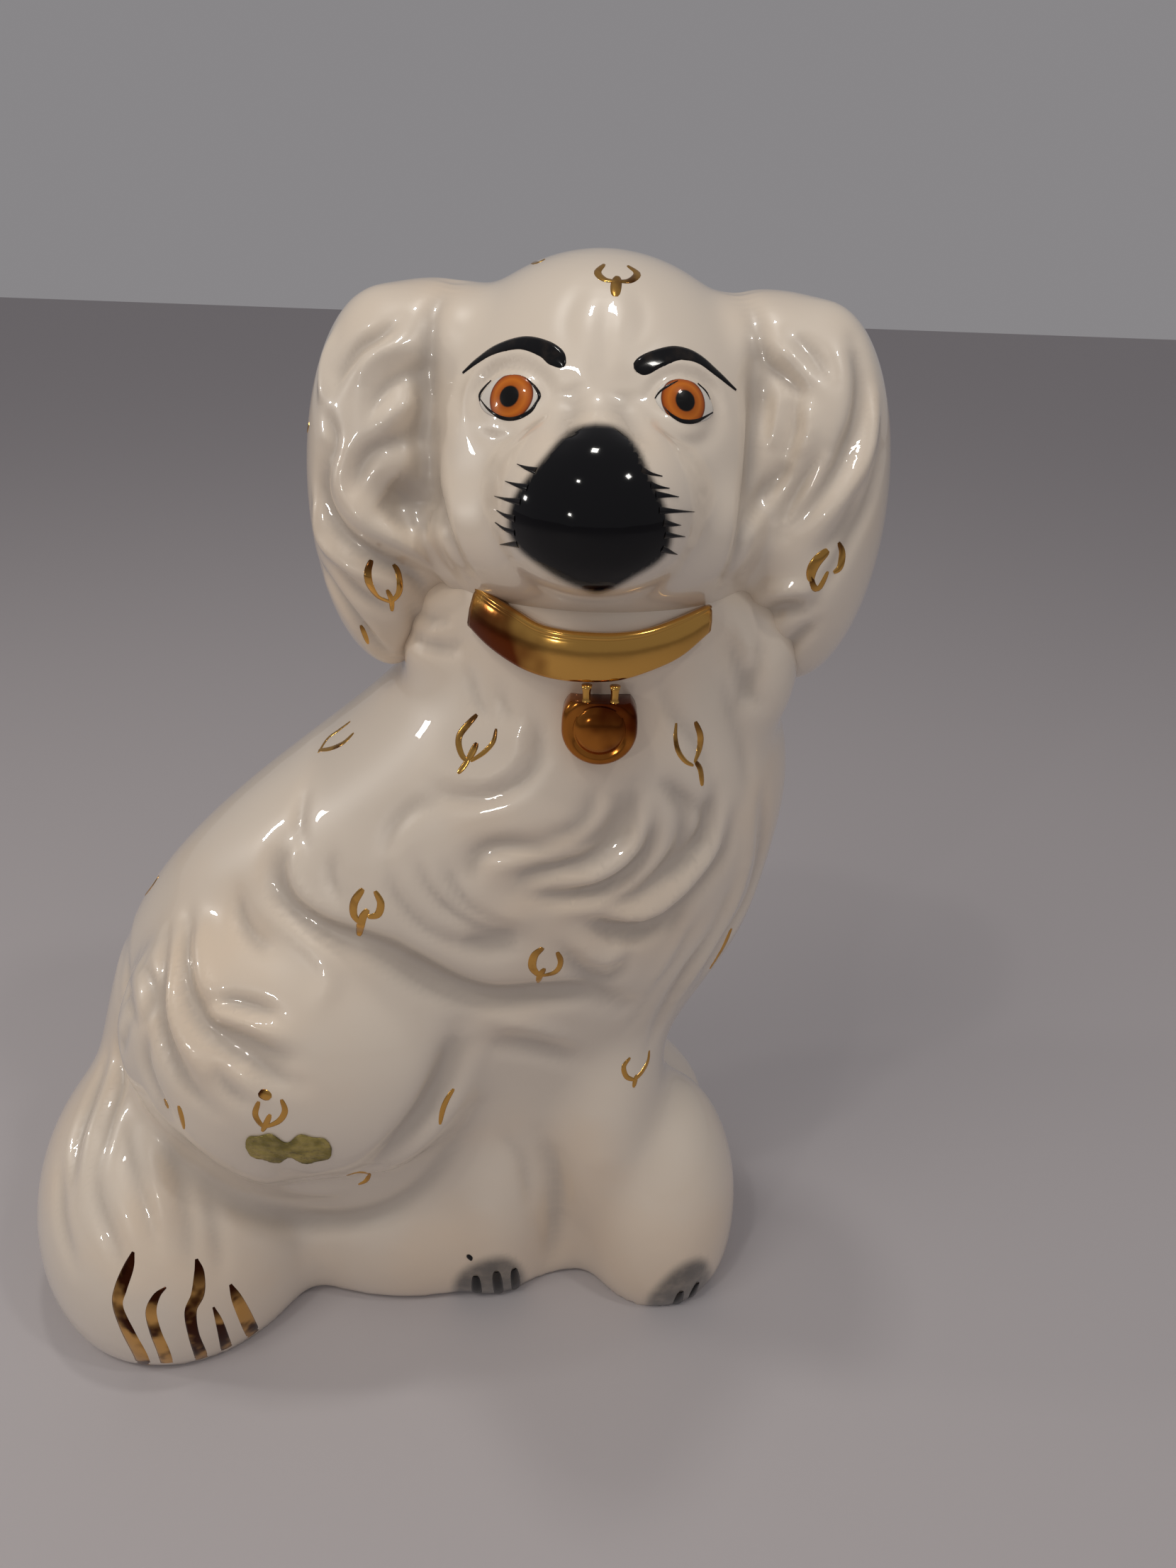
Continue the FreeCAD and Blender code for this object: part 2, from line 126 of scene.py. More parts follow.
# Hair modelled in the skin: half width and depth in millimetres, negative for a groove between
# locks, and the line that its middle follows, in the photograph's pixels
BODY_LOCKS = (
    # swirl on the chest under the locket
    (3.0, -1.6, ((664, 1244), (668, 1214), (692, 1198), (735, 1196), (790, 1204))),
    (3.2, -2.4, (
        (722, 1258), (744, 1238), (785, 1226), (830, 1216), (872, 1188), (893, 1145), (893, 1105),
    )),
    (2.8, -2.2, ((745, 1266), (795, 1268), (845, 1260), (885, 1238), (917, 1200), (925, 1150))),
    (2.4, -1.4, ((868, 1112), (870, 1150), (848, 1182), (805, 1202))),
    (2.4, -1.3, ((838, 1110), (832, 1145), (808, 1172), (765, 1186))),
    (2.4, 1.0, ((700, 1222), (740, 1214), (800, 1212), (850, 1196))),
    (2.2, 0.9, ((905, 1120), (908, 1165), (890, 1205), (850, 1236), (800, 1246))),
    (3.0, -1.6, ((950, 1110), (968, 1150), (962, 1195), (935, 1235), (895, 1268), (850, 1285))),
    (3.2, -2.2, ((1008, 1120), (1000, 1172), (975, 1212), (940, 1245))),
    (2.8, -1.4, ((1036, 1150), (1022, 1205), (996, 1245), (965, 1285), (945, 1330))),
    (2.6, 1.0, ((1020, 1140), (1010, 1190), (985, 1228), (950, 1262), (905, 1288))),
    (4.0, -2.4, ((832, 1296), (862, 1314), (902, 1318), (938, 1303), (955, 1282))),
    (3.0, 1.2, ((800, 1282), (840, 1286), (890, 1292), (930, 1280), (960, 1255))),
    (2.8, -1.4, ((792, 1336), (820, 1372), (862, 1384), (880, 1356))),
    (2.6, 1.0, ((805, 1326), (840, 1350), (866, 1352), (880, 1330))),
    # strands that fan to the left of the swirl
    (2.2, -1.2, ((586, 1216), (606, 1254), (640, 1288), (684, 1312), (730, 1322))),
    (2.2, -1.3, ((628, 1226), (646, 1262), (680, 1290), (722, 1304))),
    (2.0, 0.9, ((606, 1222), (626, 1260), (660, 1292), (706, 1314))),
    (2.0, 0.9, ((650, 1240), (668, 1272), (700, 1292), (742, 1300))),
    (2.2, -1.0, ((544, 1225), (560, 1270), (600, 1312), (650, 1338))),
    (4.5, -1.6, ((648, 1330), (690, 1336), (735, 1330))),
    # lobe of hair on the shoulder
    (2.8, -1.1, ((752, 1000), (758, 1050), (742, 1092), (700, 1118), (650, 1122), (606, 1108))),
    (2.4, 0.8, ((728, 1020), (734, 1060), (716, 1090), (676, 1104), (630, 1098))),
    (3.0, -0.9, ((540, 1210), (552, 1170), (580, 1140), (625, 1128))),
    (3.0, -0.8, ((430, 1110), (420, 1160), (428, 1205))),
    # long locks down the chest
    (2.8, -1.3, ((1078, 1120), (1076, 1200), (1056, 1270), (1020, 1330), (985, 1390))),
    (2.6, 1.0, ((1060, 1130), (1054, 1210), (1032, 1280), (996, 1345), (955, 1410))),
    (2.8, -1.2, ((1040, 1240), (1012, 1310), (970, 1372), (935, 1430), (915, 1480))),
    (2.6, -1.1, ((985, 1300), (955, 1350), (920, 1400), (890, 1450))),
    (2.6, 0.9, ((960, 1330), (930, 1380), (900, 1432))),
    (2.4, -1.0, ((925, 1100), (965, 1128), (1000, 1150))),
    (2.4, -0.9, ((660, 940), (668, 985), (690, 1020))),
    (2.4, -0.8, ((700, 960), (712, 1000), (728, 1030))),
    (2.6, -0.9, ((930, 950), (945, 1000), (985, 1050), (1010, 1110))),
    (2.6, -0.9, ((1010, 940), (1030, 1000), (1050, 1060), (1058, 1120))),
    # lower edge of the ruff, over the flank
    (5.0, -2.2, (
        (398, 1188), (388, 1232), (404, 1278), (452, 1312), (520, 1336), (585, 1372), (650, 1402),
    )),
    (5.0, -2.6, ((560, 1352), (620, 1392), (690, 1412), (760, 1408), (830, 1404), (880, 1420))),
    (2.4, 0.9, ((420, 1185), (412, 1230), (430, 1268), (476, 1298), (540, 1318))),
    (2.4, -0.9, ((470, 1205), (466, 1240), (482, 1272))),
    # curved locks on the haunch
    (3.4, -2.0, (
        (262, 1296), (258, 1350), (264, 1400), (286, 1446), (326, 1482), (384, 1516), (420, 1530),
    )),
    (2.8, 1.0, ((282, 1300), (280, 1350), (290, 1395), (318, 1432))),
    (3.0, -1.6, ((232, 1316), (226, 1376), (222, 1430), (236, 1482), (262, 1530), (300, 1570))),
    (2.6, 1.0, ((244, 1330), (240, 1390), (246, 1440), (270, 1490), (310, 1530))),
    (2.6, -1.5, ((284, 1412), (326, 1414), (366, 1424), (392, 1436))),
    (2.6, -1.4, ((300, 1446), (340, 1466), (380, 1486), (416, 1500))),
    (2.4, 0.9, ((292, 1428), (336, 1440), (380, 1456), (412, 1470))),
    (3.0, -1.3, ((334, 1262), (340, 1300), (360, 1328), (384, 1342))),
    (3.2, 1.2, ((372, 1280), (420, 1316), (456, 1350), (466, 1385), (452, 1415))),
    (2.4, -1.1, ((300, 1505), (318, 1535), (350, 1562))),
    (2.2, 0.7, ((338, 1505), (352, 1532), (372, 1556))),
    (2.6, -1.2, ((196, 1352), (208, 1385), (206, 1425), (192, 1446))),
    (2.6, -1.2, ((180, 1360), (178, 1400), (188, 1440))),
    (2.8, -1.2, ((205, 1455), (204, 1500), (222, 1545), (256, 1592))),
    # hollow in front of the haunch and round the foot
    (6.0, -2.4, ((648, 1452), (634, 1506), (606, 1566), (560, 1622), (510, 1668))),
    (4.5, -1.2, ((690, 1470), (760, 1480), (820, 1500))),
    (3.0, 0.8, ((700, 1440), (760, 1450), (800, 1470))),
    (4.0, -1.2, ((762, 1600), (782, 1660), (784, 1730), (775, 1790))),
    (3.0, -0.8, ((706, 1600), (738, 1640), (752, 1700))),
    # lower edge of the haunch, and the shadow under it
    (7.0, 1.5, (
        (230, 1560), (290, 1612), (350, 1650), (440, 1672), (520, 1660), (585, 1615), (625, 1565),
    )),
    (4.5, -1.6, (
        (200, 1580), (260, 1645), (340, 1700), (430, 1722), (520, 1716), (590, 1680), (640, 1620),
        (672, 1565),
    )),
    # curls where the ears meet the shoulders
    (2.4, -1.2, ((566, 880), (590, 905), (630, 915), (655, 905))),
    (2.4, -1.0, ((575, 850), (600, 872), (640, 880))),
    (2.4, -1.2, ((1026, 900), (1040, 930), (1052, 968), (1080, 1000))),
    (2.4, -1.2, ((1060, 890), (1070, 920), (1062, 960), (1040, 1000))),
    (2.4, 1.0, ((1040, 880), (1056, 915), (1062, 950))),
    # locks of the tail
    (2.8, -1.4, ((182, 1436), (168, 1480), (166, 1530), (152, 1580), (140, 1640))),
    (2.6, -1.1, ((150, 1490), (128, 1550), (108, 1610), (98, 1680))),
    (2.6, 0.8, ((166, 1480), (148, 1545), (126, 1610), (118, 1680))),
    (3.0, -1.0, ((128, 1620), (136, 1690), (158, 1750), (178, 1800))),
    (3.0, -1.0, ((176, 1580), (186, 1650), (206, 1710), (222, 1770))),
    (3.0, -1.0, ((232, 1620), (252, 1670), (264, 1730), (270, 1790))),
    (3.0, 0.8, ((206, 1600), (222, 1670), (238, 1740))),
    (3.0, -0.9, ((290, 1690), (304, 1740), (312, 1800))),
    (3.0, -0.9, ((84, 1640), (86, 1720), (104, 1790))),
)
HEAD_LOCKS = (
    # ear at the left of the photograph
    (2.2, -1.3, ((560, 452), (536, 472), (506, 488), (482, 516), (470, 548))),
    (2.4, 1.2, ((580, 486), (552, 492), (524, 508), (500, 540))),
    (2.2, -0.9, ((600, 520), (566, 530), (536, 556), (520, 590))),
    (2.4, 0.9, ((592, 560), (560, 580), (534, 604))),
    (2.6, -1.3, ((600, 610), (560, 622), (520, 640), (498, 672), (494, 706))),
    (5.5, -3.0, ((545, 690), (575, 712), (604, 728))),
    (3.2, 1.6, ((486, 640), (486, 690), (516, 734), (566, 764), (620, 800), (650, 840))),
    (2.8, -1.8, ((456, 640), (454, 700), (478, 752), (524, 786), (580, 812), (610, 850))),
    (2.6, 1.2, ((446, 700), (456, 760), (496, 800), (540, 826))),
    (2.4, -1.2, ((452, 800), (482, 850), (520, 900), (552, 930))),
    (2.4, -1.0, ((474, 800), (506, 838), (560, 868))),
    (2.4, -1.0, ((466, 860), (494, 915), (530, 950))),
    (2.6, -1.0, ((580, 850), (590, 890), (570, 930))),
    (2.2, 0.9, ((470, 470), (458, 520), (456, 570))),
    (2.2, -0.9, ((458, 580), (470, 620), (462, 660))),
    # ear at the right of the photograph
    (3.0, -1.7, ((1206, 480), (1218, 540), (1212, 600), (1184, 655), (1146, 705), (1108, 752))),
    (2.6, -1.5, ((1160, 640), (1128, 690), (1096, 745))),
    (2.6, 1.2, ((1180, 640), (1140, 694), (1104, 742))),
    (2.4, -1.2, ((1118, 650), (1084, 690), (1060, 740))),
    (2.6, 1.1, ((1236, 560), (1222, 640), (1190, 700), (1152, 748))),
    (2.4, -1.0, ((1244, 640), (1226, 710), (1196, 770), (1150, 850))),
    (2.4, -1.0, ((1216, 690), (1190, 745), (1150, 790))),
    (2.2, -1.0, ((1072, 486), (1086, 512), (1108, 532), (1140, 556))),
    (2.2, 0.9, ((1100, 486), (1124, 520), (1148, 548))),
    (2.2, -0.9, ((1118, 470), (1150, 500), (1172, 540))),
    (2.4, 1.0, ((1102, 548), (1096, 590), (1082, 636))),
    (2.4, -0.8, ((1118, 560), (1122, 610), (1104, 650))),
    (2.4, 0.8, ((1136, 570), (1140, 605), (1124, 645))),
    (3.0, -1.5, ((1140, 856), (1092, 862), (1058, 884), (1040, 920))),
    (2.8, 1.2, ((1150, 830), (1096, 838), (1052, 860), (1022, 896))),
    (2.6, -1.3, ((1150, 880), (1110, 920), (1082, 968), (1086, 1000))),
    (2.6, -1.2, ((1040, 930), (1052, 978), (1086, 1000), (1120, 960))),
    # where each ear leaves the face
    (3.2, -1.5, ((640, 396), (612, 440), (602, 520), (600, 610), (606, 690), (630, 760), (660, 815))),
    (3.2, -1.5, (
        (1040, 405), (1064, 450), (1070, 540), (1066, 630), (1058, 710), (1044, 780), (1020, 830),
    )),
)
# Folds of the face, which the back of the head has no likes of
FACE_FOLDS = (
    (2.6, -0.35, ((820, 400), (800, 450), (806, 500))),
    (2.6, -0.35, ((900, 410), (905, 450), (890, 490))),
    (2.4, -0.35, ((858, 420), (852, 480), (850, 540))),
    (1.5, 0.6, ((656, 584), (662, 548), (680, 522), (706, 505), (738, 501), (768, 516), (786, 540))),
    (1.5, 0.6, ((904, 552), (922, 526), (950, 514), (984, 520), (1010, 543), (1024, 576))),
    (1.3, -0.6, ((668, 566), (680, 538), (706, 519), (738, 518), (766, 536), (778, 556))),
    (1.3, -0.6, ((916, 558), (934, 536), (958, 526), (986, 532), (1008, 552), (1016, 572))),
    (1.6, 0.5, ((668, 590), (700, 606), (742, 604))),
    (1.6, 0.5, ((926, 596), (960, 612), (1000, 606))),
    (4.0, -0.9, ((800, 540), (806, 580), (790, 620))),
    (4.0, -0.9, ((880, 545), (884, 585), (910, 625))),
)

# Eyes: the centre of the iris in the photograph's pixels, then the lids' corners and middles
EYES = {
    "right": {
        "iris": (718, 559), "inner": (762, 558), "outer": (676, 559), "upper": (718, 527),
        "lower": (722, 592),
    },
    "left": {
        "iris": (967, 565), "inner": (922, 562), "outer": (1008, 578), "upper": (966, 534),
        "lower": (970, 597),
    },
}
# The iris and how far the eyeball stands out, in millimetres
IRIS_RADIUS = 4.9
EYE_BULGE = 1.2

# Black paint on the face: pixel, pixel, width in millimetres
BROWS = (
    (
        (653, 526, 0.6), (672, 510, 1.6), (700, 493, 2.6), (737, 484, 3.2), (768, 492, 3.8),
        (784, 504, 4.1), (792, 514, 2.3), (794, 518, 0.9),
    ),
    (
        (896, 522, 0.9), (899, 520, 2.8), (908, 516, 4.1), (926, 507, 4.0), (955, 499, 3.4),
        (984, 506, 2.6), (1012, 527, 1.8), (1038, 550, 0.6),
    ),
)
LASHES = (
    ((677, 566, 0.3), (677, 556, 0.8), (684, 546, 0.8), (693, 537, 0.3)),
    (
        (677, 562, 0.3), (690, 578, 0.8), (708, 589, 0.9), (728, 590, 0.9), (748, 580, 0.8),
        (759, 564, 0.4),
    ),
    ((744, 535, 0.3), (754, 546, 0.8), (761, 558, 0.7), (756, 570, 0.3)),
    ((924, 562, 0.3), (932, 552, 0.7), (944, 544, 0.7), (956, 538, 0.3)),
    ((936, 574, 0.2), (948, 586, 0.7), (964, 594, 1.0), (984, 593, 1.0), (1005, 582, 0.4)),
    ((984, 541, 0.3), (996, 553, 0.8), (1001, 564, 0.3)),
)
WHISKERS = (
    ((905, 662, 1.5), (918, 668, 0.8), (934, 672, 0.15)),
    ((918, 684, 1.5), (930, 687, 0.8), (944, 689, 0.15)),
    ((925, 698, 1.5), (942, 699, 0.8), (957, 701, 0.15)),
    ((930, 720, 1.5), (952, 721, 0.8), (979, 722, 0.15)),
    ((936, 738, 1.5), (950, 740, 0.8), (960, 741, 0.15)),
    ((938, 755, 1.5), (952, 756, 0.8), (966, 757, 0.15)),
    ((934, 774, 1.5), (946, 779, 0.8), (955, 782, 0.15)),
    ((756, 664, 1.5), (742, 660, 0.8), (730, 655, 0.15)),
    ((744, 688, 1.5), (728, 684, 0.8), (713, 679, 0.15)),
    ((734, 708, 1.5), (716, 705, 0.8), (698, 700, 0.15)),
    ((726, 732, 1.5), (712, 727, 0.8), (701, 720, 0.15)),
    ((726, 752, 1.5), (711, 746, 0.8), (699, 737, 0.15)),
    ((730, 768, 1.5), (716, 768, 0.8), (706, 768, 0.15)),
)
# The black of the muzzle: its outline, and half the width of its soft edge, in pixels
MUZZLE_PATCH = (
    (840, 597), (812, 602), (790, 618), (768, 644), (748, 668), (728, 694), (718, 722), (717, 750),
    (730, 774), (756, 796), (790, 818), (820, 832), (842, 838), (866, 831), (896, 814), (926, 796),
    (944, 776), (948, 750), (940, 718), (928, 688), (914, 660), (902, 634), (886, 612), (866, 600),
)
MUZZLE_FEATHER = 6.0
# Claws: width in millimetres, and the line down the claw in pixels
CLAWS = (
    (3.2, ((671, 1800), (673, 1823), (676, 1838))),
    (3.2, ((700, 1794), (703, 1817), (706, 1831))),
    (3.1, ((725, 1790), (728, 1813), (729, 1826))),
    (3.3, ((961, 1822), (953, 1845), (949, 1857))),
    (3.2, ((984, 1810), (974, 1834), (970, 1846))),
    (1.8, ((660, 1770), (662, 1773), (665, 1777))),
)
# Grey wash on each paw: its outline, and half the width of its soft edge, in pixels
PAW_WASHES = (
    (
        (640, 1836), (641, 1812), (652, 1794), (674, 1781), (700, 1774), (722, 1778), (736, 1792),
        (741, 1812), (738, 1830), (700, 1842), (664, 1844),
    ),
    (
        (910, 1850), (916, 1830), (934, 1808), (956, 1788), (980, 1777), (996, 1780), (1003, 1800),
        (998, 1826), (984, 1850), (950, 1870), (920, 1866),
    ),
)
WASH_FEATHER = 9.0

# Lustre: gold, burnt gold, and the scale and ends of the mottle between them
LUSTRES = {
    "gold_lustre": ((0.72, 0.40, 0.10), (0.10, 0.025, 0.008), 120, 0.55, 0.8),
    "streak_lustre": ((0.74, 0.42, 0.13), (0.05, 0.013, 0.005), 75, 0.47, 0.6),
    "collar_gilt": ((0.74, 0.41, 0.10), (0.16, 0.035, 0.008), 34, 0.5, 0.64),
    "locket_gilt": ((0.46, 0.17, 0.03), (0.10, 0.016, 0.003), 60, 0.36, 0.62),
}
# The pixel line above which a sprig is on the head, and the planes that sprigs are mirrored in
NECK_LINE = 960
HEAD_MIRROR_Y = 10.0
BODY_MIRROR_Y = 3.0
# Gold sprigs as they are painted: width in millimetres, how burnt the tip is, and its line in pixels
SEEN_SPRIGS = (
    # forehead
    (1.7, 0.1, ((852, 373), (843, 384), (852, 394), (868, 397))),
    (1.7, 0.1, ((886, 375), (899, 386), (889, 396), (872, 397))),
    (2.4, 0.0, ((871, 390), (869, 404), (868, 418))),
    (1.6, 0.2, ((744, 366), (756, 371), (768, 366))),
    (1.6, 0.3, ((955, 375), (966, 379), (976, 377))),
    # ears
    (1.9, 0.9, ((524, 790), (519, 806), (521, 824), (532, 841), (552, 850))),
    (1.6, 0.7, ((555, 796), (561, 806), (564, 822), (562, 838), (550, 851))),
    (1.3, 0.5, ((546, 832), (552, 846), (553, 862))),
    (1.5, 0.7, ((497, 897), (502, 910), (509, 922), (519, 934))),
    (1.3, 0.6, ((509, 882), (514, 894), (519, 908))),
    (1.6, 0.5, ((436, 598), (433, 612), (429, 640))),
    (2.6, 0.1, ((1168, 776), (1152, 792), (1145, 806), (1144, 820))),
    (1.6, 0.8, ((1183, 765), (1188, 780), (1185, 800), (1176, 808))),
    (1.6, 0.9, ((1144, 812), (1148, 828), (1156, 829), (1168, 806))),
    # shoulder and chest
    (1.4, 0.1, ((494, 1018), (478, 1030), (462, 1042), (449, 1062))),
    (1.6, 0.1, ((499, 1034), (484, 1048), (466, 1056), (450, 1058))),
    (1.8, 0.8, ((673, 1008), (660, 1022), (649, 1036), (647, 1050), (652, 1066), (660, 1074))),
    (1.2, 0.8, ((700, 1028), (696, 1046), (683, 1061), (664, 1074))),
    (1.8, 0.9, ((673, 1048), (667, 1060), (660, 1073))),
    (1.5, 0.2, ((662, 1070), (655, 1080), (646, 1091))),
    (1.3, 0.2, ((954, 1020), (953, 1041), (957, 1060), (967, 1074), (978, 1080))),
    (1.6, 0.7, ((981, 1018), (988, 1038), (986, 1058), (980, 1076))),
    (1.7, 0.8, ((981, 1074), (988, 1086), (991, 1108))),
    (2.2, 0.1, ((512, 1254), (500, 1272), (499, 1290), (507, 1302))),
    (2.0, 0.1, ((529, 1257), (537, 1274), (533, 1290), (519, 1294))),
    (2.2, 0.0, ((519, 1283), (511, 1296), (506, 1320))),
    (2.2, 0.4, ((766, 1337), (754, 1348), (751, 1364), (760, 1377))),
    (1.8, 0.4, ((786, 1343), (791, 1357), (784, 1371), (764, 1377))),
    (1.8, 0.4, ((768, 1366), (762, 1376), (759, 1386))),
    (1.6, 0.1, ((889, 1492), (880, 1505), (884, 1519), (896, 1524))),
    (1.6, 0.1, ((916, 1482), (914, 1497), (906, 1512), (895, 1524))),
    (1.8, 0.0, ((898, 1516), (896, 1525), (894, 1534))),
    (1.6, 0.1, ((1032, 1310), (1019, 1339), (1002, 1366))),
    # back and haunch
    (1.6, 0.4, ((224, 1236), (213, 1252), (202, 1266))),
    (1.4, 0.6, ((227, 1222), (220, 1234), (212, 1246))),
    (3.0, 1.0, ((366, 1540), (374, 1545), (381, 1550))),
    (1.7, 0.2, ((365, 1554), (360, 1571), (366, 1584), (375, 1592))),
    (1.7, 0.2, ((397, 1551), (402, 1567), (394, 1581), (376, 1590))),
    (1.6, 0.0, ((381, 1572), (376, 1584), (370, 1596))),
    (1.6, 0.1, ((232, 1550), (235, 1556), (237, 1563))),
    (1.8, 0.0, ((252, 1560), (256, 1576), (259, 1592))),
    (1.5, 0.2, ((490, 1658), (506, 1654), (522, 1656))),
    (1.5, 0.2, ((522, 1656), (516, 1666), (506, 1671))),
    (1.6, 0.0, ((640, 1536), (630, 1552), (624, 1568), (621, 1586))),
)
# Places that are mirrored to the far side: pixel, scale and turn in degrees
FAR_SPRIGS = (
    (545, 826, 1.1, 4),
    (1166, 800, 1.1, -24),
    (476, 1038, 1.0, -48),
    (672, 1048, 1.1, -22),
    (514, 1278, 1.0, -10),
    (770, 1352, 0.9, -6),
    (905, 1504, 0.85, -12),
    (380, 1562, 1.0, -12),
    (626, 1556, 0.9, -16),
    (300, 1330, 0.9, 10),
    (160, 1650, 0.9, 10),
)
# The strokes of such a sprig round its middle: across, up and width, in millimetres
SPRIG_STROKES = (
    (
        (-1.2, 4.2, 0.6), (-1.9, 3.6, 1.9), (-2.9, 1.8, 1.6), (-3.0, 0.0, 1.4), (-2.0, -2.0, 1.3),
        (-0.5, -3.4, 1.1),
    ),
    (
        (1.7, 4.0, 0.6), (2.4, 3.2, 1.8), (3.1, 1.4, 1.5), (2.9, -0.4, 1.4), (1.9, -2.2, 1.2),
        (0.3, -3.4, 1.1),
    ),
    ((0.3, -0.9, 0.6), (0.1, -1.7, 1.6), (0.0, -2.6, 1.5), (-0.1, -3.4, 1.0)),
    ((-0.1, -3.0, 1.4), (-0.4, -4.2, 1.7), (-0.7, -5.4, 0.9), (-0.9, -6.2, 0.3)),
)
# Lustre streaks down the tail: pixel, pixel, width in millimetres
STREAKS = (
    (
        (188, 1766, 0.8), (182, 1786, 3.0), (170, 1818, 3.6), (166, 1842, 3.2), (180, 1878, 4.2),
        (198, 1912, 4.4), (206, 1936, 4.0),
    ),
    (
        (234, 1816, 0.6), (221, 1828, 2.0), (213, 1850, 3.0), (219, 1878, 3.2), (231, 1908, 3.6),
        (240, 1938, 3.4),
    ),
    (
        (277, 1776, 0.8), (281, 1796, 2.8), (279, 1826, 3.8), (269, 1850, 3.4), (273, 1882, 3.0),
        (284, 1914, 3.6), (290, 1944, 3.4),
    ),
    ((301, 1844, 0.6), (309, 1864, 2.0), (317, 1892, 3.0), (325, 1924, 4.2), (326, 1950, 4.0)),
    (
        (325, 1812, 0.8), (334, 1832, 3.0), (349, 1864, 4.0), (360, 1892, 4.0), (358, 1926, 4.4),
        (356, 1950, 4.0),
    ),
)

# The throat that the collar lies round: its middle's place behind the collar's front and above
# its foot, and its half width, depth and height, in millimetres
THROAT_BACK = 44.4
THROAT_RISE = 5.2
THROAT_RADII = (34.0, 42.0, 30.0)
# The collar's edges in pixels
COLLAR_UPPER = (
    (672, 826), (698, 844), (725, 861), (756, 880), (790, 889), (825, 893), (871, 894), (916, 888),
    (961, 872), (1004, 853),
)
COLLAR_LOWER = (
    (659, 884), (685, 911), (716, 934), (747, 950), (783, 960), (825, 964), (871, 962), (916, 949),
    (961, 928), (1002, 893),
)


def make_camera():
    """The camera at the photograph's place, turned and rolled as it was."""
    data = bpy.data.cameras.new("camera")
    data.sensor_width = SENSOR
    data.lens = SENSOR * FOCAL_PIXELS / PHOTO_HEIGHT
    camera = bpy.data.objects.new("camera", data)
    upright = Matrix.Rotation(math.pi / 2 - CAMERA_PITCH, 4, "X")
    roll = Matrix.Rotation(CAMERA_ROLL, 4, "Z")
    camera.matrix_world = Matrix.Translation(CAMERA_PLACE * MM) @ upright @ roll
    bpy.context.scene.collection.objects.link(camera)
    bpy.context.scene.camera = camera
    return (upright @ roll).to_3x3()


CAMERA_TURN = make_camera()


def photo_ray(x, y):
    """The direction from the camera through a pixel of the photograph."""
    across = (x - PHOTO_WIDTH / 2) / FOCAL_PIXELS
    up = (PHOTO_HEIGHT / 2 - y) / FOCAL_PIXELS
    return (CAMERA_TURN @ Vector((across, up, -1))).normalized()


def photo_pixels(points):
    """The photograph's pixels of points in millimetres."""
    local = (points - np.array(CAMERA_PLACE)) @ np.array(CAMERA_TURN)
    x = PHOTO_WIDTH / 2 + FOCAL_PIXELS * local[:, 0] / -local[:, 2]
    y = PHOTO_HEIGHT / 2 - FOCAL_PIXELS * local[:, 1] / -local[:, 2]
    return np.stack([x, y], 1)


def values_of(collection, attribute, width, kind=np.float32):
    """An attribute of a mesh's vertices, edges or loops, as an array."""
    values = np.empty(len(collection) * width, kind)
    collection.foreach_get(attribute, values)
    return values.reshape(-1, width) if width > 1 else values


def curve_through(points, spacing):
    """Evenly spaced points on a smooth curve through a few, in any number of columns."""
    fine_steps, fewest = 16, 4
    given = np.array(points, float)
    padded = np.vstack([2 * given[0] - given[1], given, 2 * given[-1] - given[-2]])
    parts = []
    steps = np.linspace(0, 1, fine_steps, endpoint=False)[:, None]
    # a spline through the middle two of each four points, which the outer two bend
    for a, b, c, d in zip(padded, padded[1:], padded[2:], padded[3:]):
        parts.append(0.5 * (
            2 * b + (c - a) * steps + (2 * a - 5 * b + 4 * c - d) * steps**2
            + (3 * b - a - 3 * c + d) * steps**3
        ))
    fine = np.vstack(parts + [given[-1:]])
    gone = np.concatenate([[0], np.cumsum(np.linalg.norm(np.diff(fine[:, :2], axis=0), axis=1))])
    count = max(fewest, int(gone[-1] / spacing) + 1)
    wanted = np.linspace(0, gone[-1], count)
    return np.stack([np.interp(wanted, gone, fine[:, k]) for k in range(fine.shape[1])], 1)


def smooth_step(low, high, values):
    """0 below low, 1 above high, and a smooth rise between."""
    share = np.clip((values - low) / (high - low), 0, 1)
    return share * share * (3 - 2 * share)


def middle_ray():
    """The direction in which the photograph looks, at its middle."""
    return np.array(photo_ray(PHOTO_WIDTH / 2, PHOTO_HEIGHT / 2))


def combed(skin, normals, axis, spread, height):
    """Wavy locks combed down a skin where the photograph doesn't see it, as a lift per vertex."""
    away = skin.points - np.array(axis)
    turn = np.arctan2(away[:, 1], away[:, 0])
    bend = sum(size * np.sin(away[:, 2] / length + twist * turn) for size, length, twist in COMB_BENDS)
    fine_height, number, fine_bend, phase = COMB_FINE
    fine = np.sin(number * spread * (turn + fine_bend * bend) + phase)
    locks = np.sin(spread * (turn + bend)) + fine_height * fine
    unseen = smooth_step(*COMB_UNSEEN, normals @ middle_ray())
    level = smooth_step(*COMB_UPRIGHT, np.hypot(normals[:, 0], normals[:, 1]))
    return height * locks * unseen * level


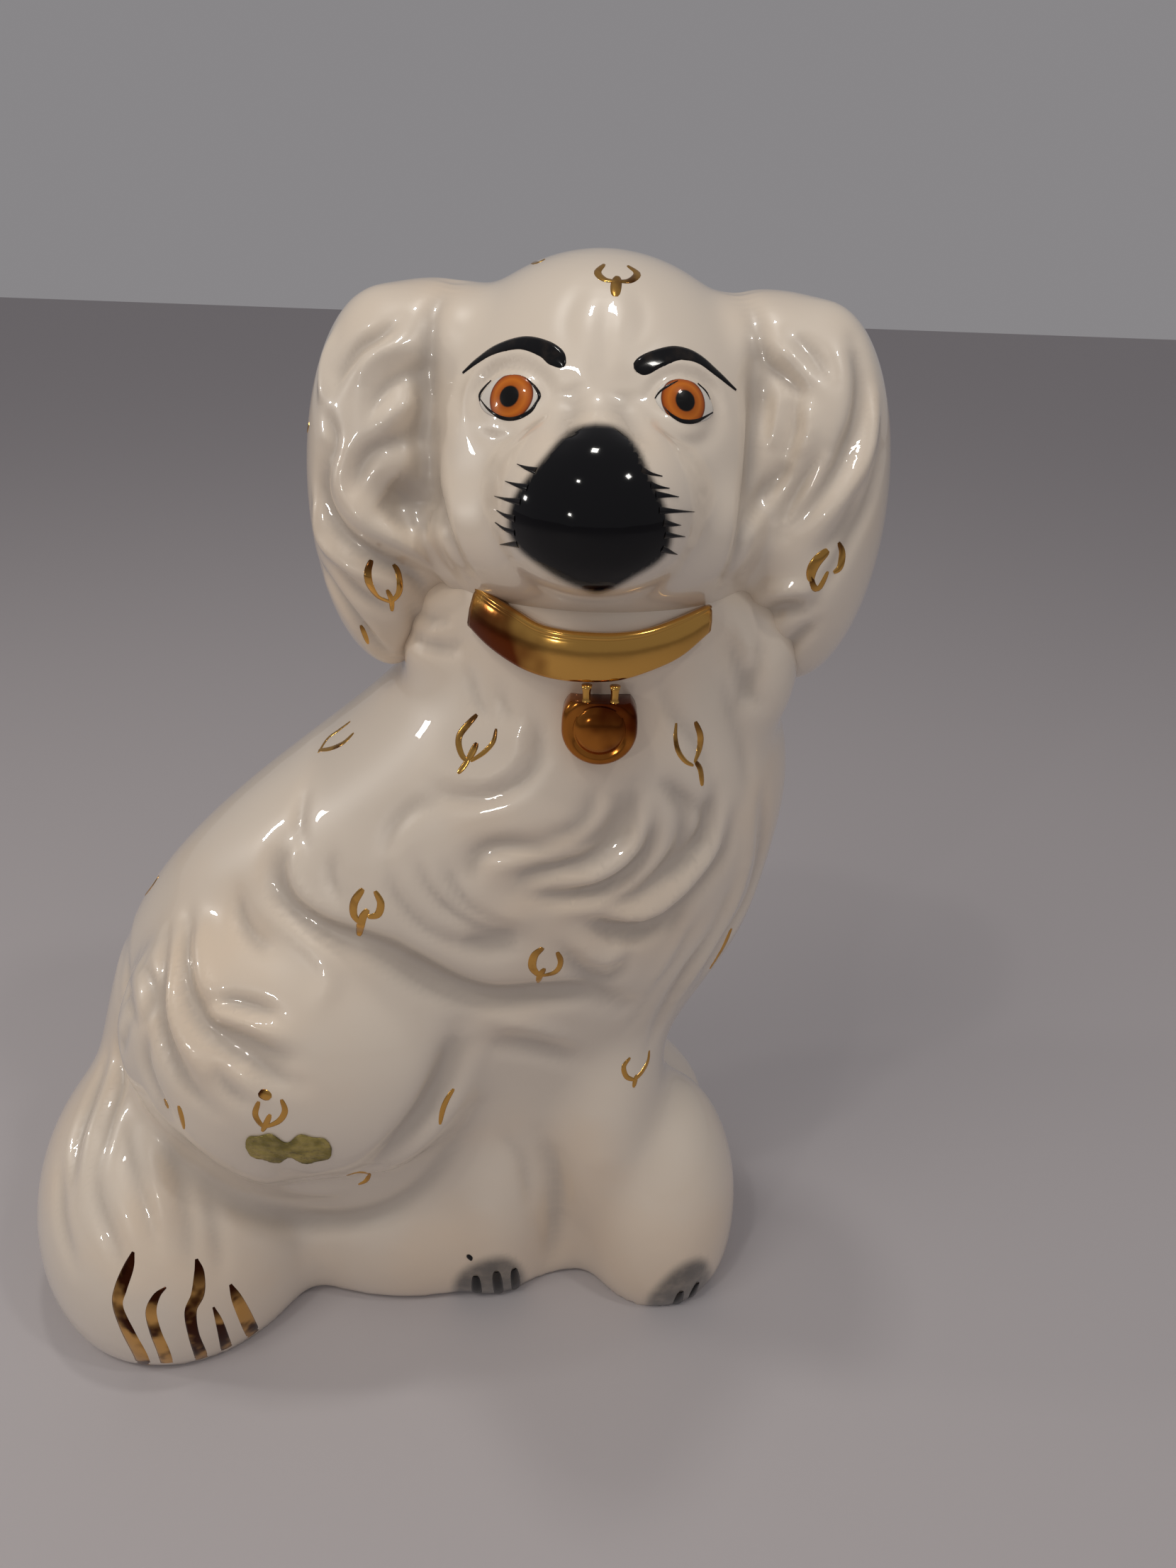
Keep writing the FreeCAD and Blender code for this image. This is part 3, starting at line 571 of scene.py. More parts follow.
class Skin:
    """A closed mesh held as arrays, in millimetres, while its surface is worked."""

    def __init__(self, name, mesh):
        self.name = name
        self.mesh = mesh
        self.points = values_of(mesh.vertices, "co", 3).astype(float) / MM
        self.edges = values_of(mesh.edges, "vertices", 2, np.int32)
        self.faces = [tuple(p.vertices) for p in mesh.polygons]
        self.degree = np.bincount(self.edges.ravel(), minlength=len(self.points))

    def mean_of_neighbours(self, values):
        """Each vertex's mean of its neighbours' values."""
        first, second = self.edges.T
        size = len(self.points)
        columns = []
        for column in values.T:
            total = np.bincount(first, column[second], size) + np.bincount(second, column[first], size)
            columns.append(total / self.degree)
        return np.stack(columns, 1)

    def soften(self, rounds, share=FULL_SHARE):
        """Round the surface off by a share, which may differ from vertex to vertex."""
        share = np.asarray(share).reshape(-1, 1)
        grounded = self.points[:, 2] < GROUND_SKIN
        for _ in range(rounds):
            self.points += share * (self.mean_of_neighbours(self.points) - self.points)
            self.points[grounded, 2] = 0.0

    def heal(self, rounds):
        """Soften only where the surface is still creased, and a little round there."""
        bend = np.linalg.norm(self.mean_of_neighbours(self.points) - self.points, axis=1)
        creased = smooth_step(*HEAL_BENDS, bend) * (self.points[:, 2] > HEAL_FROM)
        for _ in range(HEAL_SPREAD):
            spread = self.mean_of_neighbours(creased.reshape(-1, 1))[:, 0]
            creased = np.maximum(creased, spread * HEAL_GROWTH)
        self.soften(rounds, FULL_SHARE * np.clip(creased, 0, 1))

    def normals(self, rounds=0):
        """Vertex normals, evened out over the neighbours."""
        self.store()
        normals = values_of(self.mesh.vertices, "normal", 3).astype(float)
        for _ in range(rounds):
            normals = self.mean_of_neighbours(normals)
        return normals / np.linalg.norm(normals, axis=1, keepdims=True)

    def store(self):
        """Write the points back into the mesh."""
        self.mesh.vertices.foreach_set("co", (self.points * MM).astype(np.float32).ravel())
        self.mesh.update()

    def tree(self):
        """A search tree over the surface as it is now."""
        return BVHTree.FromPolygons(self.points.tolist(), self.faces)


def kept_part(work):
    """Delete all but the largest loose part of a bmesh."""
    unseen = set(work.verts)
    parts = []
    while unseen:
        start = unseen.pop()
        part, front = [start], [start]
        while front:
            vertex = front.pop()
            for edge in vertex.link_edges:
                other = edge.other_vert(vertex)
                if other in unseen:
                    unseen.discard(other)
                    part.append(other)
                    front.append(other)
        parts.append(part)
    parts.sort(key=len)
    for part in parts[:-1]:
        bmesh.ops.delete(work, geom=part, context="VERTS")


def plain_copy(holder):
    """The finished shape of an object with modifiers as a plain mesh; the object is removed."""
    bpy.context.view_layer.update()
    shape = holder.evaluated_get(bpy.context.evaluated_depsgraph_get())
    mesh = bpy.data.meshes.new_from_object(shape)
    bpy.data.objects.remove(holder)
    return mesh


def grow_skin(name, nodes, voxel, fillers):
    """One closed outer surface round copies of CAD nodes and plain fillers."""
    around, along, weld = 48, 24, 1e-6
    work = bmesh.new()
    for node in nodes:
        work.from_mesh(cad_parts[node].data)
    for centre, radii in fillers:
        shape = Matrix.Translation(Vector(centre) * MM) @ Matrix.Diagonal((*(Vector(radii) * MM), 1))
        bmesh.ops.create_uvsphere(work, u_segments=around, v_segments=along, radius=1, matrix=shape)
    bmesh.ops.remove_doubles(work, verts=work.verts, dist=weld)
    rough = bpy.data.meshes.new(name)
    work.to_mesh(rough)
    work.free()
    return closed_skin(name, rough, voxel)


def closed_skin(name, rough, voxel):
    """The outermost surface of a mesh that may cross itself, as one closed skin."""
    holder = bpy.data.objects.new(name, rough)
    bpy.context.scene.collection.objects.link(holder)
    grow = holder.modifiers.new("grow", "REMESH")
    grow.mode = "VOXEL"
    grow.voxel_size = voxel * MM
    grown = plain_copy(holder)
    work = bmesh.new()
    work.from_mesh(grown)
    kept_part(work)
    work.to_mesh(grown)
    work.free()
    return Skin(name, grown)


def surface_points(tree, pixels):
    """Where the rays through pixels meet a surface, its normals there, and which rays meet it."""
    places, normals, met = [], [], []
    for x, y in pixels:
        place, normal, _, _ = tree.ray_cast(CAMERA_PLACE, photo_ray(x, y))
        met.append(place is not None)
        if met[-1]:
            places.append(place)
            normals.append(normal)
    return np.array(places), np.array(normals), np.array(met)


def lock_rise(skin, normals, line, line_normals, half_width, depth):
    """How far one lock lifts each vertex: most on its line, and less towards its ends and sides."""
    reach = LOCK_REACH * half_width
    above = np.all(skin.points > line.min(0) - reach, axis=1)
    below = np.all(skin.points < line.max(0) + reach, axis=1)
    near = np.flatnonzero(above & below)
    rise = np.zeros(len(skin.points))
    if not len(near):
        return rise
    gaps = np.linalg.norm(skin.points[near][:, None] - line[None], axis=2)
    closest = gaps.argmin(1)
    gap = gaps[np.arange(len(near)), closest]
    along = closest / (len(line) - 1)
    taper = np.sqrt(np.clip(np.sin(np.pi * np.clip(along, *LOCK_ENDS)), 0, 1))
    facing = smooth_step(*LOCK_FACING, np.sum(normals[near] * line_normals[closest], axis=1))
    rise[near] = HAIR_DEPTH * depth * taper * facing * np.exp(-((gap / half_width) ** 2) * LOCK_FALL)
    return rise


def mirrored(tree, places, mirror_y):
    """The nearest places and normals of a surface to places mirrored to its far side."""
    found = [tree.find_nearest((x, 2 * mirror_y - y, z))[:2] for x, y, z in places]
    return tuple(np.array(column) for column in zip(*found))


def fill_seam(skin, pixels, mirror_y):
    """Round a skin off along a line in the photograph and along its mirrored line."""
    full, none = 0.5 * RIM_REACH, 1.6 * RIM_REACH
    tree = skin.tree()
    places, _, _ = surface_points(tree, curve_through(pixels, RIM_SPACING))
    share = np.zeros(len(skin.points))
    for place in np.vstack([places, mirrored(tree, places, mirror_y)[0]]):
        gap = np.linalg.norm(skin.points - place, axis=1)
        share = np.maximum(share, 1 - smooth_step(full, none, gap))
    skin.soften(RIM_ROUNDS, FULL_SHARE * share)


def press_hair(skin, locks, mirror_y=None):
    """How far laid locks lift a skin, and again on its far side, if they are mirrored there."""
    fewest = 3
    tree = skin.tree()
    normals = skin.normals(rounds=NORMAL_ROUNDS)
    rise = np.zeros(len(skin.points))
    for half_width, height, pixels in locks:
        places, line_normals, _ = surface_points(tree, curve_through(pixels, LOCK_SPACING))
        if len(places) < fewest:
            continue
        rise += lock_rise(skin, normals, places, line_normals, half_width, height)
        if mirror_y is not None:
            far, far_normals = mirrored(tree, places, mirror_y)
            rise += lock_rise(skin, normals, far, far_normals, half_width, height)
    return rise, normals


def tapered(width, line):
    """A line's points with a width that fades towards its ends."""
    end_share = 0.45
    along = np.linspace(0, 1, len(line))
    widths = width * (end_share + (1 - end_share) * np.sqrt(np.sin(np.pi * along)))
    return np.column_stack([line, widths])


def add_node(tree, kind, settings, *inputs):
    """A node with its settings made and its inputs set or linked, as its first output."""
    node = tree.nodes.new(kind)
    for name, value in settings.items():
        setattr(node, name, value)
    for name, value in inputs:
        if isinstance(value, bpy.types.NodeSocket):
            tree.links.new(value, node.inputs[name])
        else:
            node.inputs[name].default_value = value
    return node.outputs[0]


def stroke_nodes():
    """The node tree that turns lines with widths into thin closed strokes that follow a skin."""
    corners, ring_radius, flatness, sunk = 10, 0.5, 0.1, 0.1
    tree = bpy.data.node_groups.new("laid_strokes", "GeometryNodeTree")
    tree.is_modifier = True
    kinds = {"Lines": "Geometry", "Skin": "Object", "Thickness": "Float", "Material": "Material"}
    for name, kind in kinds.items():
        tree.interface.new_socket(name, in_out="INPUT", socket_type="NodeSocket" + kind)
    tree.interface.new_socket("Strokes", in_out="OUTPUT", socket_type="NodeSocketGeometry")
    given = tree.nodes.new("NodeGroupInput").outputs
    end = tree.nodes.new("NodeGroupOutput").inputs

    def add(kind, settings, *inputs):
        """A node of this tree."""
        return add_node(tree, kind, settings, *inputs)

    place = add("GeometryNodeInputPosition", {})
    normal = add("GeometryNodeInputNormal", {})
    named = "GeometryNodeInputNamedAttribute"
    width = add(named, {"data_type": "FLOAT"}, ("Name", "width"))
    rise = add(named, {"data_type": "FLOAT"}, ("Name", "rise"))
    out = add(named, {"data_type": "FLOAT_VECTOR"}, ("Name", "out"))
    ring = add("GeometryNodeCurvePrimitiveCircle", {}, ("Resolution", corners), ("Radius", ring_radius))
    across = add("ShaderNodeSeparateXYZ", {}, ("Vector", place))
    store = {"data_type": "FLOAT", "domain": "POINT"}
    marked = "GeometryNodeStoreNamedAttribute"
    ring = add(marked, store, ("Geometry", ring), ("Name", "rise"), ("Value", across))
    ring = add("GeometryNodeTransform", {}, ("Geometry", ring), ("Scale", (flatness, 1.0, 1.0)))
    lines = add("GeometryNodeMeshToCurve", {}, ("Mesh", given["Lines"]))
    lines = add("GeometryNodeSetCurveNormal", {"mode": "FREE"}, ("Curve", lines), ("Normal", out))
    strokes = add(
        "GeometryNodeCurveToMesh", {},
        ("Curve", lines), ("Profile Curve", ring), ("Scale", width), ("Fill Caps", True),
    )
    skin = tree.nodes.new("GeometryNodeObjectInfo")
    tree.links.new(given["Skin"], skin.inputs["Object"])
    sample, vector = "GeometryNodeSampleNearestSurface", {"data_type": "FLOAT_VECTOR"}
    near = add(sample, vector, ("Mesh", skin.outputs["Geometry"]), ("Value", place))
    outwards = add(sample, vector, ("Mesh", skin.outputs["Geometry"]), ("Value", normal))
    lift = add("ShaderNodeMath", {"operation": "SUBTRACT"}, (0, rise), (1, sunk))
    lift = add("ShaderNodeMath", {"operation": "MULTIPLY"}, (0, lift), (1, given["Thickness"]))
    raised = add("ShaderNodeVectorMath", {"operation": "SCALE"}, ("Vector", outwards), ("Scale", lift))
    raised = add("ShaderNodeVectorMath", {"operation": "ADD"}, (0, near), (1, raised))
    strokes = add("GeometryNodeSetPosition", {}, ("Geometry", strokes), ("Position", raised))
    strokes = add("GeometryNodeRealizeInstances", {}, ("Geometry", strokes))
    strokes = add("GeometryNodeSetMaterial", {}, ("Geometry", strokes), ("Material", given["Material"]))
    tree.links.new(strokes, end["Strokes"])
    return tree


STROKE_NODES = stroke_nodes()


class Brush:
    """A thin raised layer of paint or lustre, gathered line by line and laid on a skin."""

    def __init__(self, name, skin, tree, thickness):
        self.name, self.skin, self.tree, self.thickness = name, skin, tree, thickness
        self.points, self.edges, self.widths, self.loads, self.outs = [], [], [], [], []

    def stroke(self, places, normals, widths, load=0.0):
        """One stroke along places, widths wide, loaded at its start."""
        loaded, bare = 0.1, 0.45
        start, count = len(self.points), len(places)
        self.points.extend(Vector(place) * MM for place in places)
        self.edges.extend((start + k, start + k + 1) for k in range(count - 1))
        self.widths.extend(np.array(widths) * MM)
        self.loads.extend(load * (1 - smooth_step(loaded, bare, np.linspace(0, 1, count))))
        self.outs.extend(normals)

    def photo_stroke(self, marks, load=0.0, spacing=4, width=None):
        """A stroke from pixels and widths in millimetres, or from pixels and one width."""
        fewest = 3
        line = curve_through(marks, spacing)
        if width is not None:
            line = tapered(width, line)
        places, normals, met = surface_points(self.tree, line[:, :2])
        if len(places) >= fewest:
            self.stroke(places, normals, line[met, 2], load)

    def done(self, material):
        """The finished piece: the lines run through the stroke nodes into a plain mesh."""
        mesh = bpy.data.meshes.new(self.name)
        mesh.from_pydata(self.points, self.edges, [])
        for name, kind, field, values in (
            ("width", "FLOAT", "value", self.widths),
            ("load", "FLOAT", "value", self.loads),
            ("out", "FLOAT_VECTOR", "vector", self.outs),
        ):
            layer = mesh.attributes.new(name, kind, "POINT")
            layer.data.foreach_set(field, np.array(values, np.float32).ravel())
        holder = bpy.data.objects.new(self.name + "_lines", mesh)
        bpy.context.scene.collection.objects.link(holder)
        laid = holder.modifiers.new("laid", "NODES")
        laid.node_group = STROKE_NODES
        inputs = {"Skin": self.skin, "Thickness": self.thickness * MM, "Material": material}
        for socket in STROKE_NODES.interface.items_tree:
            if socket.name in inputs:
                laid[socket.identifier] = inputs[socket.name]
        return finished(self.name, plain_copy(holder), material)


def finished(name, mesh, material):
    """An object from a mesh, with its normals outwards, its shading and its material."""
    work = bmesh.new()
    work.from_mesh(mesh)
    bmesh.ops.recalc_face_normals(work, faces=work.faces)
    work.to_mesh(mesh)
    work.free()
    mesh.materials.clear()
    mesh.materials.append(material)
    mesh.shade_smooth()
    piece = bpy.data.objects.new(name, mesh)
    bpy.context.scene.collection.objects.link(piece)
    return piece


# Materials


def new_material(name):
    """A node material and its shader."""
    material = bpy.data.materials.new(name)
    material.use_nodes = True
    return material, material.node_tree, material.node_tree.nodes["Principled BSDF"]


def mottle_group():
    """A mask that wanders over the surface, used by every finish."""
    group = bpy.data.node_groups.new("mottle", "ShaderNodeTree")
    for name, value in (("Scale", 40.0), ("Low", 0.4), ("High", 0.6)):
        socket = group.interface.new_socket(name, in_out="INPUT", socket_type="NodeSocketFloat")
        socket.default_value = value
    group.interface.new_socket("Mask", in_out="OUTPUT", socket_type="NodeSocketFloat")
    given = group.nodes.new("NodeGroupInput")
    given_out = group.nodes.new("NodeGroupOutput")
    place = group.nodes.new("ShaderNodeTexCoord")
    noise = group.nodes.new("ShaderNodeTexNoise")
    noise.inputs["Detail"].default_value = 3.0
    spread = group.nodes.new("ShaderNodeMapRange")
    spread.interpolation_type = "SMOOTHSTEP"
    links = group.links
    links.new(place.outputs["Object"], noise.inputs["Vector"])
    links.new(given.outputs["Scale"], noise.inputs["Scale"])
    links.new(noise.outputs["Fac"], spread.inputs["Value"])
    links.new(given.outputs["Low"], spread.inputs["From Min"])
    links.new(given.outputs["High"], spread.inputs["From Max"])
    links.new(spread.outputs["Result"], given_out.inputs["Mask"])
    return group


MOTTLE = mottle_group()


def mottle(tree, scale, low, high):
    """The mottle mask in a material."""
    node = tree.nodes.new("ShaderNodeGroup")
    node.node_tree = MOTTLE
    node.inputs["Scale"].default_value = scale
    node.inputs["Low"].default_value = low
    node.inputs["High"].default_value = high
    return node.outputs["Mask"]


def mixed(tree, share, first, second):
    """Two colours, or the outputs that give them, mixed by a share."""
    node = tree.nodes.new("ShaderNodeMix")
    node.data_type = "RGBA"
    # the mix node's share and its two colours are its inputs 0, 6 and 7
    for number, given in ((0, share), (6, first), (7, second)):
        socket = node.inputs[number]
        if isinstance(given, bpy.types.NodeSocket):
            tree.links.new(given, socket)
        else:
            socket.default_value = given if isinstance(given, float) else (*given, 1)
    return node.outputs[2]


def calculated(tree, operation, *values):
    """One operation on values, or on the outputs that give them."""
    return add_node(tree, "ShaderNodeMath", {"operation": operation}, *enumerate(values))


def ranged(tree, value, low, high):
    """A share from 0 to 1 as a value from low to high."""
    return add_node(tree, "ShaderNodeMapRange", {}, ("Value", value), ("To Min", low), ("To Max", high))


def attribute(tree, name):
    """A mesh attribute's value."""
    node = tree.nodes.new("ShaderNodeAttribute")
    node.attribute_name = name
    return node.outputs["Fac"]


def ripple(tree, shader, scale, strength, distance):
    """A faint unevenness in a glossy surface."""
    place = tree.nodes.new("ShaderNodeTexCoord").outputs["Object"]
    noise = add_node(tree, "ShaderNodeTexNoise", {}, ("Vector", place), ("Scale", scale))
    bump = add_node(
        tree, "ShaderNodeBump", {}, ("Strength", strength), ("Distance", distance), ("Height", noise),
    )
    tree.links.new(bump, shader.inputs["Normal"])


def glaze_material():
    """Warm ivory glaze, greyer in the grooves where it pools and as painted shade there, with the painted
    muzzle and the washed paws.
    """
    material, tree, shader = new_material("ivory_glaze")
    ivory, cream, pooled_glaze_and_shade = (0.76, 0.66, 0.545), (0.78, 0.635, 0.485), (0.46, 0.395, 0.33)
    wash, black = (0.09, 0.075, 0.06), (0.004, 0.004, 0.005)
    pooled_and_shade_share, rough, smooth, sheen = 0.7, 0.4, 0.08, 0.18
    colour = mixed(tree, mottle(tree, scale=16, low=0.42, high=0.68), ivory, cream)
    # Greyer in the grooves, the deeper the greyer: partly the glaze pooling there, partly painted shade
    hollow = calculated(tree, "MULTIPLY", attribute(tree, "hollow"), pooled_and_shade_share)
    colour = mixed(tree, hollow, colour, pooled_glaze_and_shade)
    grain = mottle(tree, scale=220, low=-0.9, high=0.75)
    grey = calculated(tree, "MULTIPLY", attribute(tree, "wash"), grain)
    colour = mixed(tree, grey, colour, wash)
    muzzle = attribute(tree, "muzzle")
    tree.links.new(mixed(tree, muzzle, colour, black), shader.inputs["Base Color"])
    tree.links.new(ranged(tree, muzzle, rough, smooth), shader.inputs["Roughness"])
    bare = ranged(tree, muzzle, 1.0, sheen)
    tree.links.new(bare, shader.inputs["Coat Weight"])
    tree.links.new(bare, shader.inputs["Specular IOR Level"])
    shader.inputs["Coat Roughness"].default_value = 0.02
    ripple(tree, shader, scale=90, strength=0.05, distance=0.0006)
    return material


def lustre_material(name, gold, burnt, scale, low, high):
    """Bright gold lustre, burnt brown where it lies thick."""
    material, tree, shader = new_material(name)
    loaded = calculated(tree, "MAXIMUM", mottle(tree, scale, low, high), attribute(tree, "load"))
    tree.links.new(mixed(tree, loaded, gold, burnt), shader.inputs["Base Color"])
    shader.inputs["Metallic"].default_value = 1.0
    shader.inputs["Roughness"].default_value = 0.16
    ripple(tree, shader, scale=260, strength=0.12, distance=0.0004)
    return material


def paint_material(name, colour, worn):
    """Glossy enamel paint, thinner in places."""
    material, tree, shader = new_material(name)
    thin = mottle(tree, scale=300, low=0.45, high=0.75)
    tree.links.new(mixed(tree, thin, colour, worn), shader.inputs["Base Color"])
    shader.inputs["Roughness"].default_value = 0.12
    shader.inputs["Specular IOR Level"].default_value = 0.2
    shader.inputs["Coat Weight"].default_value = 0.2
    shader.inputs["Coat Roughness"].default_value = 0.04
    return material


def eye_material():
    """Painted eye in its own map: white, a rimmed and streaked orange iris, and a black pupil."""
    material, tree, shader = new_material("painted_eye")
    black, streak, streak_share = (0.003, 0.003, 0.003), (0.35, 0.06, 0.0), 0.25
    iris_middle, iris_half = 0.70, 0.24
    stops = (
        (0.00, black),
        (0.40, black),
        (0.46, (0.42, 0.10, 0.008)),
        (0.70, (0.60, 0.17, 0.015)),
        (0.88, (0.40, 0.085, 0.006)),
        (0.97, (0.12, 0.02, 0.003)),
        (1.00, (0.70, 0.66, 0.60)),
    )
    place = tree.nodes.new("ShaderNodeUVMap")
    place.uv_map = "eye"
    away = tree.nodes.new("ShaderNodeVectorMath")
    away.operation = "LENGTH"
    tree.links.new(place.outputs["UV"], away.inputs[0])
    away = away.outputs["Value"]
    noise = add_node(tree, "ShaderNodeTexNoise", {}, ("Vector", place.outputs["UV"]), ("Scale", 3.0))
    ramp = tree.nodes.new("ShaderNodeValToRGB")
    ramp.color_ramp.elements[1].position = stops[-1][0]
    for position, colour in stops[1:-1]:
        ramp.color_ramp.elements.new(position).color = (*colour, 1)
    ramp.color_ramp.elements[0].color = (*stops[0][1], 1)
    ramp.color_ramp.elements[-1].color = (*stops[-1][1], 1)
    tree.links.new(away, ramp.inputs["Fac"])
    plain = ramp.outputs["Color"]
    streaked = mixed(tree, calculated(tree, "MULTIPLY", noise, streak_share), plain, streak)
    inside = calculated(tree, "COMPARE", away, iris_middle, iris_half)
    tree.links.new(mixed(tree, inside, plain, streaked), shader.inputs["Base Color"])
    shader.inputs["Roughness"].default_value = 0.3
    shader.inputs["Specular IOR Level"].default_value = 0.15
    shader.inputs["Coat Weight"].default_value = 0.35
    shader.inputs["Coat Roughness"].default_value = 0.02
    return material


def foil_material():
    """Crinkled old-gold foil."""
    material, tree, shader = new_material("label_foil")
    gold, dull = (0.46, 0.37, 0.12), (0.22, 0.18, 0.05)
    colour = mixed(tree, mottle(tree, scale=200, low=0.35, high=0.65), gold, dull)
    tree.links.new(colour, shader.inputs["Base Color"])
    shader.inputs["Metallic"].default_value = 0.75
    shader.inputs["Roughness"].default_value = 0.3
    ripple(tree, shader, scale=420, strength=0.8, distance=0.001)
    return material


# Pieces


def node_box(name):
    """A CAD node's corners in millimetres."""
    low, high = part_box(name)
    return np.array(low) / MM, np.array(high) / MM


def neck_plug(back):
    """A lens that closes a casting's open neck, its middle that far behind the origin."""
    low, high = node_box("collar")
    middle_x = (low[0] + high[0]) / 2
    return (middle_x, back, node_box("head")[0][2]), NECK_PLUG_RADII


def lump(mark):
    """A filler from its middle, from the collar's foot in the middle of the neck, and its radii."""
    low, high = node_box("collar")
    along, back, up, *radii = mark
    return ((low[0] + high[0]) / 2 + along, back, low[2] + up), radii


def flag(skin, name, values):
    """Keep a mask on the mesh for its material."""
    layer = skin.mesh.attributes.new(name, "FLOAT", "POINT")
    layer.data.foreach_set("value", values.astype(np.float32))


def polygon_distance(pixels, outline):
    """Distance from each pixel to a smooth closed outline, negative inside."""
    spacing, flat = 5, 1e-9
    corners = curve_through((*outline, outline[0]), spacing)[:-1]
    following = np.roll(corners, -1, axis=0)
    inside = np.zeros(len(pixels), bool)
    best = np.full(len(pixels), np.inf)
    for a, b in zip(corners, following):
        side = b - a
        share = np.clip(((pixels - a) @ side) / (side @ side), 0, 1)
        best = np.minimum(best, np.linalg.norm(pixels - a - share[:, None] * side, axis=1))
        crosses = (a[1] > pixels[:, 1]) != (b[1] > pixels[:, 1])
        level = a[0] + (pixels[:, 1] - a[1]) * side[0] / (side[1] if side[1] else flat)
        inside ^= crosses & (pixels[:, 0] < level)
    return np.where(inside, -best, best)


def painted(skin, outlines, feather, least_facing):
    """A mask of the vertices that the photograph sees inside any of some outlines."""
    facing = skin.normals() @ -middle_ray()
    pixels = photo_pixels(skin.points)
    mask = np.zeros(len(pixels))
    for outline in outlines:
        inside = 1 - smooth_step(-feather, feather, polygon_distance(pixels, outline))
        mask = np.maximum(mask, inside)
    return mask * (facing > least_facing)


def make_head():
    """Head and ears in one glazed skin."""
    rounds, plug_back, mirror_back = 70, -1.0, 10
    ball_spread, socket_depth, socket_radius, socket_spread = 4.6, 0.7, 8.0, 2.4
    comb_number, comb_height = 15, 0.55
    least_facing, hollow = 0.05, (0.2, 2.0)
    skin = grow_skin("head_skin", HEAD_NODES, HEAD_VOXEL, [neck_plug(plug_back)])
    skin.soften(rounds)
    low, high = node_box("head")
    tree = skin.tree()
    normals = skin.normals(rounds=NORMAL_ROUNDS)
    for eye in EYES.values():
        (place,), _, _ = surface_points(tree, [eye["iris"]])
        gap = np.linalg.norm(skin.points - place, axis=1)
        ball = EYE_BULGE * np.exp(-((gap / ball_spread) ** 2))
        socket = socket_depth * np.exp(-(((gap - socket_radius) / socket_spread) ** 2))
        skin.points += normals * ball[:, None]
        skin.points -= normals * socket[:, None]
    rise, normals = press_hair(skin, HEAD_LOCKS, mirror_y=(low[1] + high[1]) / 2 + mirror_back)
    rise += press_hair(skin, FACE_FOLDS)[0]
    rise += combed(skin, normals, (low + high) / 2, comb_number, comb_height)
    skin.points += normals * rise[:, None]
    skin.soften(LAST_ROUNDS, LAST_SHARE)
    flag(skin, "muzzle", painted(skin, [MUZZLE_PATCH], MUZZLE_FEATHER, least_facing))
    flag(skin, "wash", np.zeros(len(rise)))
    # Grooves as a mask for glaze pooling and painted shade, darker the deeper they are
    flag(skin, "hollow", smooth_step(*hollow, -rise))
    skin.store()
    return skin


def tucked_paw(points):
    """How far towards the tail the far foreleg is tucked, so that the near one hides it."""
    tuck, across, along, foot, top = 7.0, (12, 30), (62, 82), (25, 50), (90, 108)
    x, y, z = points.T
    level = smooth_step(*foot, z) * (1 - smooth_step(*top, z))
    return tuck * smooth_step(*across, y) * smooth_step(*along, x) * level


def make_body():
    """Body, haunches, tail and legs in one glazed skin."""
    first_rounds, rounds, heal_rounds, plug_back, mirror_back = 24, 20, 60, -3.0, 3
    vent_place, vent_radii = (30.0, 15.0), (9.0, 9.0, 2.4)
    comb_number, comb_height = 22, 0.6
    ground_fade, least_facing, hollow = (0.5, 6.0), 0.0, (0.2, 2.4)
    vent_low, vent_high = node_box("floor")
    vent = ((*vent_place, (vent_low[2] + vent_high[2]) / 2), vent_radii)
    fillers = [neck_plug(plug_back), vent, *map(lump, NAPE_LUMPS)]
    skin = grow_skin("body_skin", BODY_NODES, BODY_VOXEL, fillers)
    skin.soften(first_rounds)
    skin.store()
    skin = closed_skin("body_skin", skin.mesh, BODY_VOXEL)
    skin.soften(rounds)
    skin.heal(heal_rounds)
    low, high = node_box("torso")
    mirror_y = (low[1] + high[1]) / 2 + mirror_back
    fill_seam(skin, HAUNCH_RIM, mirror_y)
    rise, normals = press_hair(skin, BODY_LOCKS, mirror_y)
    rise += combed(skin, normals, (low + high) / 2, comb_number, comb_height)
    skin.points += normals * (rise * smooth_step(*ground_fade, skin.points[:, 2]))[:, None]
    skin.points[:, 0] -= tucked_paw(skin.points)
    skin.soften(LAST_ROUNDS, LAST_SHARE)
    skin.points[:, 2] = np.maximum(skin.points[:, 2], 0.0)
    flag(skin, "wash", painted(skin, PAW_WASHES, WASH_FEATHER, least_facing))
    flag(skin, "muzzle", np.zeros(len(rise)))
    # Grooves as a mask for glaze pooling and painted shade, darker the deeper they are
    flag(skin, "hollow", smooth_step(*hollow, -rise))
    skin.store()
    return skin


def ring_faces(start, rings, spokes):
    """The faces between rings of points that follow one another from start."""
    faces = []
    for ring in range(rings):
        for spoke in range(spokes):
            a = start + ring * spokes + spoke
            b = start + ring * spokes + (spoke + 1) % spokes
            faces.append((a, b, b + spokes, a + spokes))
    return faces


def new_mesh(name, points, faces):
    """A mesh from points in millimetres and the faces between them."""
    mesh = bpy.data.meshes.new(name)
    mesh.from_pydata([tuple(Vector(point) * MM) for point in points], [], faces)
    return mesh


def turns(spokes):
    """The angles of evenly spread spokes."""
    return [2 * math.pi * spoke / spokes for spoke in range(spokes)]


def laid(tree, place, normal, probe, lift):
    """A place dropped against a normal onto a surface, and lifted off it."""
    found, found_normal, _, _ = tree.ray_cast(place + normal * probe, -normal)
    return (found or place) + (found_normal or normal) * lift


